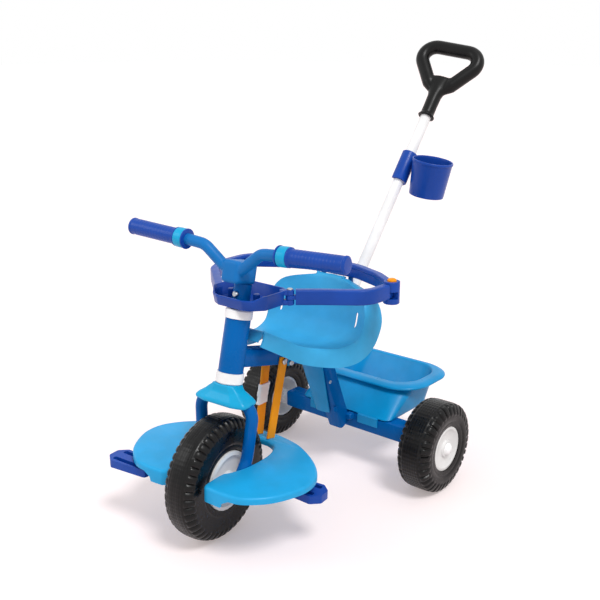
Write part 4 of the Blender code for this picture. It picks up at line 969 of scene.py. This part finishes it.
bracketLook = {
    "knee": (-0.106, 0.2685),  # (y, z) on the beam's middle line
    "foot": (-0.034, 0.0931),
    "standOff": 18.2 * mm,
    "thickness": 2.4 * mm,
    "reach": (10 * mm, 146 * mm),
    "topAcross": (-0.0450, -0.0330, -0.0120, 0.0080, 0.0196),
    "footAcross": (-0.0440, -0.0340, -0.0220, -0.0100, 0.0005),
    "forward": (-0.0100, 0.0012, 0.0036, 0.0030, 0.0006),
    "rows": 14,
    "screw": (3.6 * mm, 0.0, 2.2 * mm),
    "screwPlace": (0.0163, -0.0903, 0.2039),
    "lug": (0.0050, 0.0090, 0.0100),
    "lugPlace": (0.0185, -0.0742, 0.1393),
}


def beamBracket():
    knee = Vector((0.0, *bracketLook["knee"]))
    down = (Vector((0.0, *bracketLook["foot"])) - knee).normalized()
    out = Vector((0.0, down.z, -down.y))
    start, end = bracketLook["reach"]
    rings = []
    for k in range(bracketLook["rows"] + 1):
        share = k / bracketLook["rows"]
        across = [a + (b - a) * share for a, b in zip(bracketLook["topAcross"], bracketLook["footAcross"])]
        front = smoothLine(zip(across, bracketLook["forward"]), 4)
        base = knee + down * (start + (end - start) * share) + out * bracketLook["standOff"]
        outer = [base + sideways * x + out * (f + bracketLook["thickness"]) for x, f in front]
        inner = [base + sideways * x + out * f for x, f in reversed(front)]
        rings.append(outer + inner)
    added("beam_bracket", loft(rings), "basket_blue", bevel=0.5 * mm, sharp=45.0)
    screw = placed(rod(*bracketLook["screw"]), Matrix.Translation(bracketLook["screwPlace"]) @ quarterTurn)
    added("bracket_screw", screw, "bare_steel")
    added("bracket_lug", softBlock(bracketLook["lug"], bracketLook["lugPlace"], 0.8 * mm), "frame_blue")


beamBracket()
print("tricycle: bracket ready")

# Footrest: a moulded shell in a horseshoe round the front wheel

deckLook = {
    "outer": [
        (0.052, -0.085), (0.080, -0.086), (0.112, -0.082), (0.137, -0.066), (0.158, -0.044), (0.175, -0.012),
        (0.184, 0.022), (0.178, 0.058), (0.153, 0.093), (0.116, 0.123), (0.072, 0.147), (0.030, 0.161),
    ],
    "inner": [
        (0.030, 0.1185), (0.050, 0.108), (0.0615, 0.082), (0.0630, 0.050), (0.0580, 0.010), (0.0470, -0.018),
        (0.0385, -0.034), (0.0375, -0.072),
    ],
    "tip": [(0.0378, -0.076), (0.0395, -0.0805), (0.0430, -0.0835), (0.0470, -0.0848)],
    "top": 31 * mm,
    "edgeBottom": 19 * mm,
    "tipBottom": 3 * mm,
    "wall": 3 * mm,
    # (inset, drop from the top) round the upper edge
    "edge": [(0.0, 0.0055), (0.0004, 0.0034), (0.0015, 0.0016), (0.0031, 0.0004), (0.0052, 0.0)],
    "slopePlace": (0.0, 0.1327, 0.0307),
    "slopeCut": ((0.4, 0.2, 0.1), (0.0, 0.06, 0.0494)),  # size and middle of what the slope takes away
    "ceiling": (132.7 * mm, 30.1 * mm, 0.2377),  # where the rear slope starts, its height, its fall
    "saddleRecess": (0.0326, 0.0246, 0.0046),
    "legHole": 11.8 * mm,
}


def deckOutline():
    outer = smoothLine(deckLook["outer"], 7)
    inner = smoothLine(deckLook["inner"], 7)
    line = mirrored(outer) + [(-x, y) for x, y in reversed(inner)] + inner[:-1]
    # The two front tips are rounded off
    return line + deckLook["tip"]


def footrest():
    look = deckLook
    outline = deckOutline()
    rings = [level(outline, look["tipBottom"])]
    rings += [level(inset(outline, step), look["top"] - drop) for step, drop in look["edge"]]
    piece = dressed("footrest", loft(rings), steering)
    slope = Matrix.Translation(look["slopePlace"]) @ raked
    cutBy(piece, placed(block(*look["slopeCut"]), slope), steering)
    # The skirt is deep only round the tips
    low = look["tipBottom"] - 0.01
    edge = look["edgeBottom"]
    side = [(-0.066, low), (-0.062, edge - 0.008), (-0.048, edge), (0.22, edge), (0.22, low)]
    cutBy(piece, extruded(side, (-0.22, 0.22)), steering)
    flank = [(0.074, low), (0.080, edge - 0.008), (0.094, edge), (0.22, edge), (0.22, low)]
    for s in (-1.0, 1.0):
        cutBy(piece, loft([[Vector((s * x, y, z)) for x, z in flank] for y in (-0.12, 0.0)]), steering)
    # The hollow's ceiling follows the slope at the rear
    inner = inset(outline, look["wall"])
    start, high, fall = look["ceiling"]
    flat = look["top"] - look["wall"]
    over = [Vector((x, y, min(flat, high - look["wall"] - fall * (y - start)))) for x, y in inner]
    cutBy(piece, loft([level(inner, low), over]), steering, "MANIFOLD")
    x, y, z = forkLook["saddlePlace"]
    for s in (-1.0, 1.0):
        cutBy(piece, block(look["saddleRecess"], (s * x, y, z)), steering)
    cutBy(piece, sweep(forkPath(14), circle(look["legHole"]), backward), steering)
    smoothAgain(piece, 40.0)


footrest()
print("tricycle: footrest ready")

# Push pole, D grip and cup holder

poleLook = {
    "start": (0.0, -0.0991, 0.2433),
    "twist": 15.4,
    "radius": 11.5 * mm,
    "bore": 10.3 * mm,
    "low": 4 * mm,
    "top": 618 * mm,
}
dGripLook = {
    "top": 779 * mm,
    "half": 88 * mm,
    "bar": 15 * mm,
    "neck": 14.6 * mm,
    "corner": 34 * mm,
}
cupLook = {
    "clip": (426 * mm, 494 * mm),
    "clipRadius": 17.2 * mm,
    "clipBore": 11.8 * mm,
    "middle": (0.0612, 0.0, 0.4508),
    "halfHeight": 38 * mm,
    "profile": [
        (0.0, 0.0), (0.0365, 0.0), (0.0420, 0.0705), (0.0434, 0.0712), (0.0434, 0.0752), (0.0425, 0.0762),
        (0.0402, 0.0762), (0.0396, 0.0720), (0.0340, 0.0025), (0.0, 0.0025),
    ],
    "arm": (0.014, 0.012, 0.060),
    "gap": (0.012, 0.020, 0.100),
}

# The grip and the cup are turned a little round the pole
poleUp = Vector((0.0, math.sin(poleLean), math.cos(poleLean)))
poleTwist = Matrix.Rotation(math.radians(poleLook["twist"]), 4, "Z")
polePlace = shift @ axisFrame(poleLook["start"], poleUp) @ poleTwist


def tube(bore, radius, low, high, edge, steps, around):
    corners = [(bore, low), (radius, low), (radius, high), (bore, high)]
    return turned(softOutline(corners, edge, steps, True), around, True)


poleTube = tube(poleLook["bore"], poleLook["radius"], poleLook["low"], poleLook["top"], 0.3 * mm, 2, 48)
dressed("push_pole", poleTube, polePlace)


def dGrip():
    top = poleLook["top"]
    neck = dGripLook["neck"]
    # (half width, half depth, height over the pole's end), from the collar up to the fork of the D
    rows = [
        (neck + 0.0033, neck + 0.0033, -0.0300), (neck + 0.0043, neck + 0.0043, -0.0290),
        (neck + 0.0043, neck + 0.0043, -0.0275), (neck + 0.0015, neck + 0.0015, -0.0255),
        (neck, neck, -0.023), (neck, neck, 0.0), (neck + 0.0005, neck, 0.022),
        (0.0200, 0.0144, 0.042), (0.0300, 0.0144, 0.062), (0.0280, 0.0125, 0.070),
    ]
    sleeve = []
    for wide, deep, high in rows:
        sleeve.append(level([(x * wide, y * deep) for x, y in circle(1.0, 48)], top + high))
    barMiddle = dGripLook["top"] - dGripLook["bar"]
    half = [(0.010, top + 0.036), (0.024, top + 0.054), (dGripLook["half"], barMiddle)]
    corners = [(x, 0.0, z) for x, z in mirrored(half)]
    path = rounded(corners[::-1], [0.0, 0.0, dGripLook["corner"], dGripLook["corner"], 0.0, 0.0], 12)
    scales = [0.55] + [1.0] * (len(path) - 2) + [0.55]
    bar = sweep(path, circle(dGripLook["bar"], 36), backward, scales)
    piece = dressed("d_grip", merged(loft(sleeve), bar), polePlace)
    flowedTogether(piece, 1.5 * mm, 14)
    cutBy(piece, rod(poleLook["radius"] + 0.3 * mm, top - 40 * mm, top + 0.3 * mm), polePlace)
    smoothAgain(piece, 50.0)


dGrip()


def cupHolder():
    upright = Vector((0.0, -math.sin(poleLean), math.cos(poleLean)))
    place = axisFrame(Vector(cupLook["middle"]) - upright * cupLook["halfHeight"], upright)
    low, high = cupLook["clip"]
    middle = (low + high) / 2.0
    parts = [
        tube(cupLook["clipBore"], cupLook["clipRadius"], low, high, 1 * mm, 3, 56),
        placed(turned(softOutline(cupLook["profile"], 1.1 * mm, 3), 72), place),
        softBlock(cupLook["arm"], (0.0215, 0.0, middle), 2 * mm, 3),
    ]
    piece = dressed("cup_holder", merged(*parts), polePlace)
    cutBy(piece, block(cupLook["gap"], (-0.016, 0.0, middle)), polePlace)
    piece.data.set_sharp_from_angle(angle=math.radians(40.0))


cupHolder()
print("tricycle: push pole ready")

# Safety ring: fixed loop with the tray, and the gate

ringLook = {
    "bottom": 419 * mm,
    "height": 27.5 * mm,
    "thickness": 14 * mm,
    "gateAxis": (0.0655, -0.272),
    "gateBend": (0.105, -0.239),
    "gateShoulder": (0.175, -0.186),
    "gateBends": [0.0, 0.05, 0.045, 0.0],
    "gateStop": 0.0158,  # from the latch's middle to the gate's end
    "latch": (0.178, -0.120),
    "loop": [
        (-0.038, -0.342), (-0.155, -0.240), (-0.180, -0.190), (-0.180, -0.118), (-0.120, -0.076),
        (-0.050, -0.049), (0.050, -0.049), (0.120, -0.076), (0.174, -0.114),
    ],
    "loopBends": [0.0, 0.05, 0.045, 0.045, 0.08, 0.08, 0.08, 0.08, 0.0],
    "trayPlan": [(0.030, -0.357), (0.045, -0.350), (0.062, -0.330), (0.062, -0.285), (0.050, -0.270)],
    "trayCorner": 10 * mm,
    "trayDip": 7.5 * mm,
    # (inset, height from the top) over the tray's rim
    "trayRim": [(-0.0016, -0.0035), (-0.0022, -0.0016), (-0.0016, -0.0003), (-0.0004, 0.0), (0.0012, -0.0002),
                (0.0022, -0.0012)],
    "eye": 7.8 * mm,
    "eyeHeight": 9.5 * mm,
    "earTurn": 42.0,
    "boss": 6.2 * mm,
    "bossPlace": (0.0305, -0.3205),
    "barrel": [
        (0.0089, 0.432), (0.0089, 0.450), (0.0150, 0.450), (0.0150, 0.4085), (0.0, 0.4085), (0.0, 0.432),
    ],
    "notch": (0.040, 0.021, 0.0136),
    "notchPlace": (0.004, -0.0115, 0.4253),
    "tongue": (0.0100, 0.0158, 0.0100),
    "tongueBack": 0.0098,
}
latchPlace = Matrix.Translation((*ringLook["latch"], 0.0))


def ringSection(flip=1.0):
    half = ringLook["thickness"] / 2.0
    high = ringLook["height"]
    corners = [
        (-half, 0.0), (half, 0.0), (half, high - 0.009), (half + 0.0025, high - 0.006), (half + 0.0015, high),
        (-half, high),
    ]
    points = softOutline(corners, [0.0035, 0.0035, 0.002, 0.0022, 0.0022, 0.0035], 4, True)
    return [(flip * x, y) for x, y in points]


def trayRing(step, height, dip=0.0):
    # The tray's outline, lower by dip at its front
    plan = ringLook["trayPlan"]
    outline = inset(softOutline(mirrored(plan), ringLook["trayCorner"], 6, True), step)
    front = [1.0 - smoothStep(plan[1][1], plan[2][1], y) for x, y in outline]
    return [Vector((x, y, height - dip * share)) for (x, y), share in zip(outline, front)]


def ringBase():
    low = ringLook["bottom"]
    high = low + ringLook["height"]
    dip = ringLook["trayDip"]
    path = rounded([(x, y, low) for x, y in ringLook["loop"]], ringLook["loopBends"], 12)
    loop = dressed("ring_base", sweep(path, ringSection(), up), sharp=35.0)
    # The tray's cavity is open over the loop's end as well
    cutBy(loop, loft([trayRing(0.0056, low + 0.0030), trayRing(0.0012, high + 0.004)]))
    loop.data.set_sharp_from_angle(angle=math.radians(40.0))
    rings = [trayRing(0.0050, low), trayRing(0.0022, low + 0.0008), trayRing(0.0008, low + 0.0028)]
    rings += [trayRing(step, high + rise, dip) for step, rise in ringLook["trayRim"]]
    rings += [trayRing(0.0048, low + 0.0050), trayRing(0.0058, low + 0.0036), trayRing(0.0080, low + 0.0030)]
    added("ring_tray", loft(rings), "navy", sharp=45.0)
    hinge = Matrix.Translation((*ringLook["gateAxis"], 0.0))
    turn = Matrix.Rotation(math.radians(ringLook["earTurn"]), 4, "Z")
    tall = ringLook["eyeHeight"]
    ears = []
    for base in (low, high - tall):
        ears.append(placed(rod(ringLook["eye"], base, base + tall, 40, 0.8 * mm), hinge))
        arm = softBlock((0.018, 0.013, tall - 0.4 * mm), (-0.009, 0.0, base + tall / 2.0), 1 * mm, 2)
        ears.append(placed(arm, hinge @ turn))
    added("ring_hinge_ears", merged(*ears), "navy")
    x, y = ringLook["bossPlace"]
    bosses = []
    for s in (-1.0, 1.0):
        boss = rod(ringLook["boss"], low + 2 * mm, high - 3.6 * mm, 32, 1.2 * mm)
        bosses.append(placed(boss, Matrix.Translation((s * x, y, 0.0))))
    added("ring_tray_bosses", merged(*bosses), "navy")
    barrel = turned(softOutline(ringLook["barrel"], 1.2 * mm, 4), 56)
    piece = added("ring_latch_barrel", barrel, "navy", matrix=shift @ latchPlace)
    cutBy(piece, block(ringLook["notch"], ringLook["notchPlace"]), shift @ latchPlace)
    piece.data.set_sharp_from_angle(angle=math.radians(40.0))


ringBase()


def ringGate():
    low = ringLook["bottom"]
    hinge = Vector((*ringLook["gateAxis"], 0.0))
    latch = ringLook["latch"]
    bend = Vector((*ringLook["gateBend"], 0.0))
    toward = (bend - hinge).normalized()
    start = hinge + toward * 10 * mm
    corners = [(start.x, start.y, low), (bend.x, bend.y, low), (*ringLook["gateShoulder"], low)]
    corners.append((latch[0], latch[1] - ringLook["gateStop"], low))
    path = rounded(corners, ringLook["gateBends"], 14)
    # The gate's eye lies between the ears
    reach = ringLook["eyeHeight"] + 0.4 * mm
    eyeLow = low + reach
    eyeHigh = low + ringLook["height"] - reach
    neck = softBlock((0.014, 0.011, eyeHigh - eyeLow), (0.007, 0.0, (eyeLow + eyeHigh) / 2.0), 1.2 * mm, 2)
    heading = Matrix.Translation(hinge) @ Matrix.Rotation(math.atan2(toward.y, toward.x), 4, "Z")
    parts = [
        sweep(path, ringSection(-1.0), up),
        placed(rod(ringLook["eye"], eyeLow, eyeHigh, 40, 0.8 * mm), Matrix.Translation(hinge)),
        placed(neck, heading),
    ]
    dressed("ring_gate", merged(*parts), sharp=35.0)
    place = (latch[0], latch[1] - ringLook["tongueBack"], ringLook["notchPlace"][2])
    added("ring_gate_tongue", softBlock(ringLook["tongue"], place, 1.2 * mm, 2), "navy", "gate_body")


ringGate()

# Latch button, and the coil of steel wire under it

buttonLook = {
    "profile": [
        (0.0, 0.440), (0.0085, 0.440), (0.0085, 0.4515), (0.0078, 0.4532), (0.0056, 0.4545), (0.0, 0.4550),
    ],
    "coilRadius": 5.8 * mm,
    "wire": 0.5 * mm,
    "coil": (432.8 * mm, 6.2 * mm),  # lower end, length
    "seat": 432 * mm,
    "turns": 5,
    "steps": 20,
}


def latchButton():
    place = shift @ latchPlace
    cap = turned(softOutline(buttonLook["profile"], 0.8 * mm, 3), 48)
    dressed("latch_button", cap, place, ending="_cap")
    low, length = buttonLook["coil"]
    count = buttonLook["turns"] * buttonLook["steps"]
    path = []
    for i in range(count + 1):
        angle = 2.0 * math.pi * i / buttonLook["steps"]
        across = buttonLook["coilRadius"] * Vector((math.cos(angle), math.sin(angle), 0.0))
        path.append(across + up * (low + length * i / count))
    piece = dressed("latch_spring", sweep(path, circle(buttonLook["wire"], 8), up), place, ending="_coil")
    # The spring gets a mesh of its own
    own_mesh(piece)


latchButton()
print("tricycle: safety ring ready")

# Crumpled film sleeve on the right hanger bar

filmLook = {
    "section": (8.8 * mm, 25.5 * mm),
    "corner": 3 * mm,
    "barTop": (-0.242, 0.280),  # (y, z) on the bar's middle line
    "barFoot": (-0.270, 0.1457),
    "span": (0.28, 0.56),
    "rows": 46,
    "creases": ((1.6 * mm, 95.0), (0.7 * mm, 260.0)),  # depth, and how many to a metre
}


def filmOnBar():
    low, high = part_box("bar_sleeve")
    middle = (low.x + high.x) / 2.0
    top = Vector((middle, *filmLook["barTop"]))
    foot = Vector((middle, *filmLook["barFoot"]))
    w, h = (size / 2.0 for size in filmLook["section"])
    base = softOutline([(-w, -h), (w, -h), (w, h), (-w, h)], filmLook["corner"], 6, True)
    start, end = filmLook["span"]
    rings = []
    for i in range(filmLook["rows"] + 1):
        centre = top.lerp(foot, start + (end - start) * i / filmLook["rows"])
        ring = []
        for a, b in base:
            out = Vector((a, b, 0.0))
            point = centre + out
            push = sum(depth * noise.noise(point * rate) for depth, rate in filmLook["creases"])
            ring.append(point + out.normalized() * push)
        rings.append(ring)
    dressed("bar_sleeve", loft(rings), sharp=60.0)


filmOnBar()
print("tricycle: film sleeve ready")

# Camera and studio

cameraPlace = {
    "position": (1.01964, -1.39527, 0.86340),  # from the rear axle's ground point
    "azimuth": 39.655,
    "elevation": 16.480,
    "lens": 52.335,
    "sensor": 36.0,
    "clip": (0.05, 60.0),
}

cameraData = bpy.data.cameras.new("photo_camera")
cameraData.lens = cameraPlace["lens"]
cameraData.sensor_width = cameraPlace["sensor"]
cameraData.clip_start, cameraData.clip_end = cameraPlace["clip"]
camera = inScene("photo_camera", cameraData)
camera.location = shift @ Vector(cameraPlace["position"])
tilt = math.radians(90.0 - cameraPlace["elevation"])
camera.rotation_euler = (tilt, 0.0, math.radians(cameraPlace["azimuth"]))
bpy.context.scene.camera = camera

studio = {
    "worldStrength": 0.62,
    "sunFrom": (1.60, -0.65, 3.0),
    "sunStrength": 1.75,
    "sunAngle": 18.0,
    "boxFrom": (-1.6, -2.0, 1.9),
    "boxStrength": 12.0,
    "boxSize": 1.1,
    "aim": (0.0, 0.0, 0.3),
    "floorColour": "#E6DCDC",
    "floorGlow": "#FFF2F0",
    "floorLift": 0.31,
    "floorReach": 30.0,
}


def studioLamp(name, kind, place, energy):
    data = bpy.data.lights.new(name, kind)
    data.energy = energy
    lamp = inScene(name, data)
    lamp.location = place
    lamp.rotation_euler = (Vector(studio["aim"]) - Vector(place)).to_track_quat("-Z", "Y").to_euler()
    return data


# A broad sun lights floor and object evenly, so the floor shows no edge; one softbox gives glints
sun = studioLamp("key_light", "SUN", studio["sunFrom"], studio["sunStrength"])
sun.angle = math.radians(studio["sunAngle"])
softbox = studioLamp("glint_light", "AREA", studio["boxFrom"], studio["boxStrength"])
softbox.size = studio["boxSize"]


def seenDirectly(tree):
    # 1 for what the camera sees, also in a mirror or through glass
    rays = addNode(tree, "ShaderNodeLightPath").outputs
    links = {0: rays["Is Camera Ray"], 1: rays["Is Glossy Ray"]}
    first = addNode(tree, "ShaderNodeMath", {"operation": "MAXIMUM"}, links)
    links = {0: first.outputs[0], 1: rays["Is Transmission Ray"]}
    return addNode(tree, "ShaderNodeMath", {"operation": "MAXIMUM"}, links).outputs[0]


def studioWorld():
    world = bpy.data.worlds.new("studio")
    world.use_nodes = True
    tree = world.node_tree
    tree.nodes.clear()
    links = {0: seenDirectly(tree)}
    # Soft light on the object, plain white for what the camera sees
    for place, strength in ((1, studio["worldStrength"]), (2, 1.0)):
        settings = {"Color": (1.0, 1.0, 1.0, 1.0), "Strength": strength}
        links[place] = addNode(tree, "ShaderNodeBackground", settings).outputs[0]
    pick = addNode(tree, "ShaderNodeMixShader", None, links)
    addNode(tree, "ShaderNodeOutputWorld", None, {"Surface": pick.outputs[0]})
    bpy.context.scene.world = world


def studioFloor():
    bm = bmesh.new()
    bmesh.ops.create_grid(bm, x_segments=1, y_segments=1, size=studio["floorReach"])
    floor = inScene("studio_floor", meshOf(bm, "studio_floor"))
    floor.location = (0.0, 0.0, cadBox[0].z)
    material = bpy.data.materials.new("painted_studio_floor")
    material.use_nodes = True
    tree = material.node_tree
    tree.nodes.clear()
    matt = addNode(tree, "ShaderNodeBsdfDiffuse", {"Color": linearColour(studio["floorColour"])})
    settings = {"operation": "MULTIPLY", 1: studio["floorLift"]}
    lift = addNode(tree, "ShaderNodeMath", settings, {0: seenDirectly(tree)})
    settings = {"Color": linearColour(studio["floorGlow"])}
    glow = addNode(tree, "ShaderNodeEmission", settings, {"Strength": lift.outputs[0]})
    total = addNode(tree, "ShaderNodeAddShader", None, {0: matt.outputs[0], 1: glow.outputs[0]})
    addNode(tree, "ShaderNodeOutputMaterial", None, {"Surface": total.outputs[0]})
    floor.data.materials.append(material)


studioWorld()
studioFloor()
bpy.context.scene.view_settings.view_transform = "Standard"
print("tricycle: studio ready")
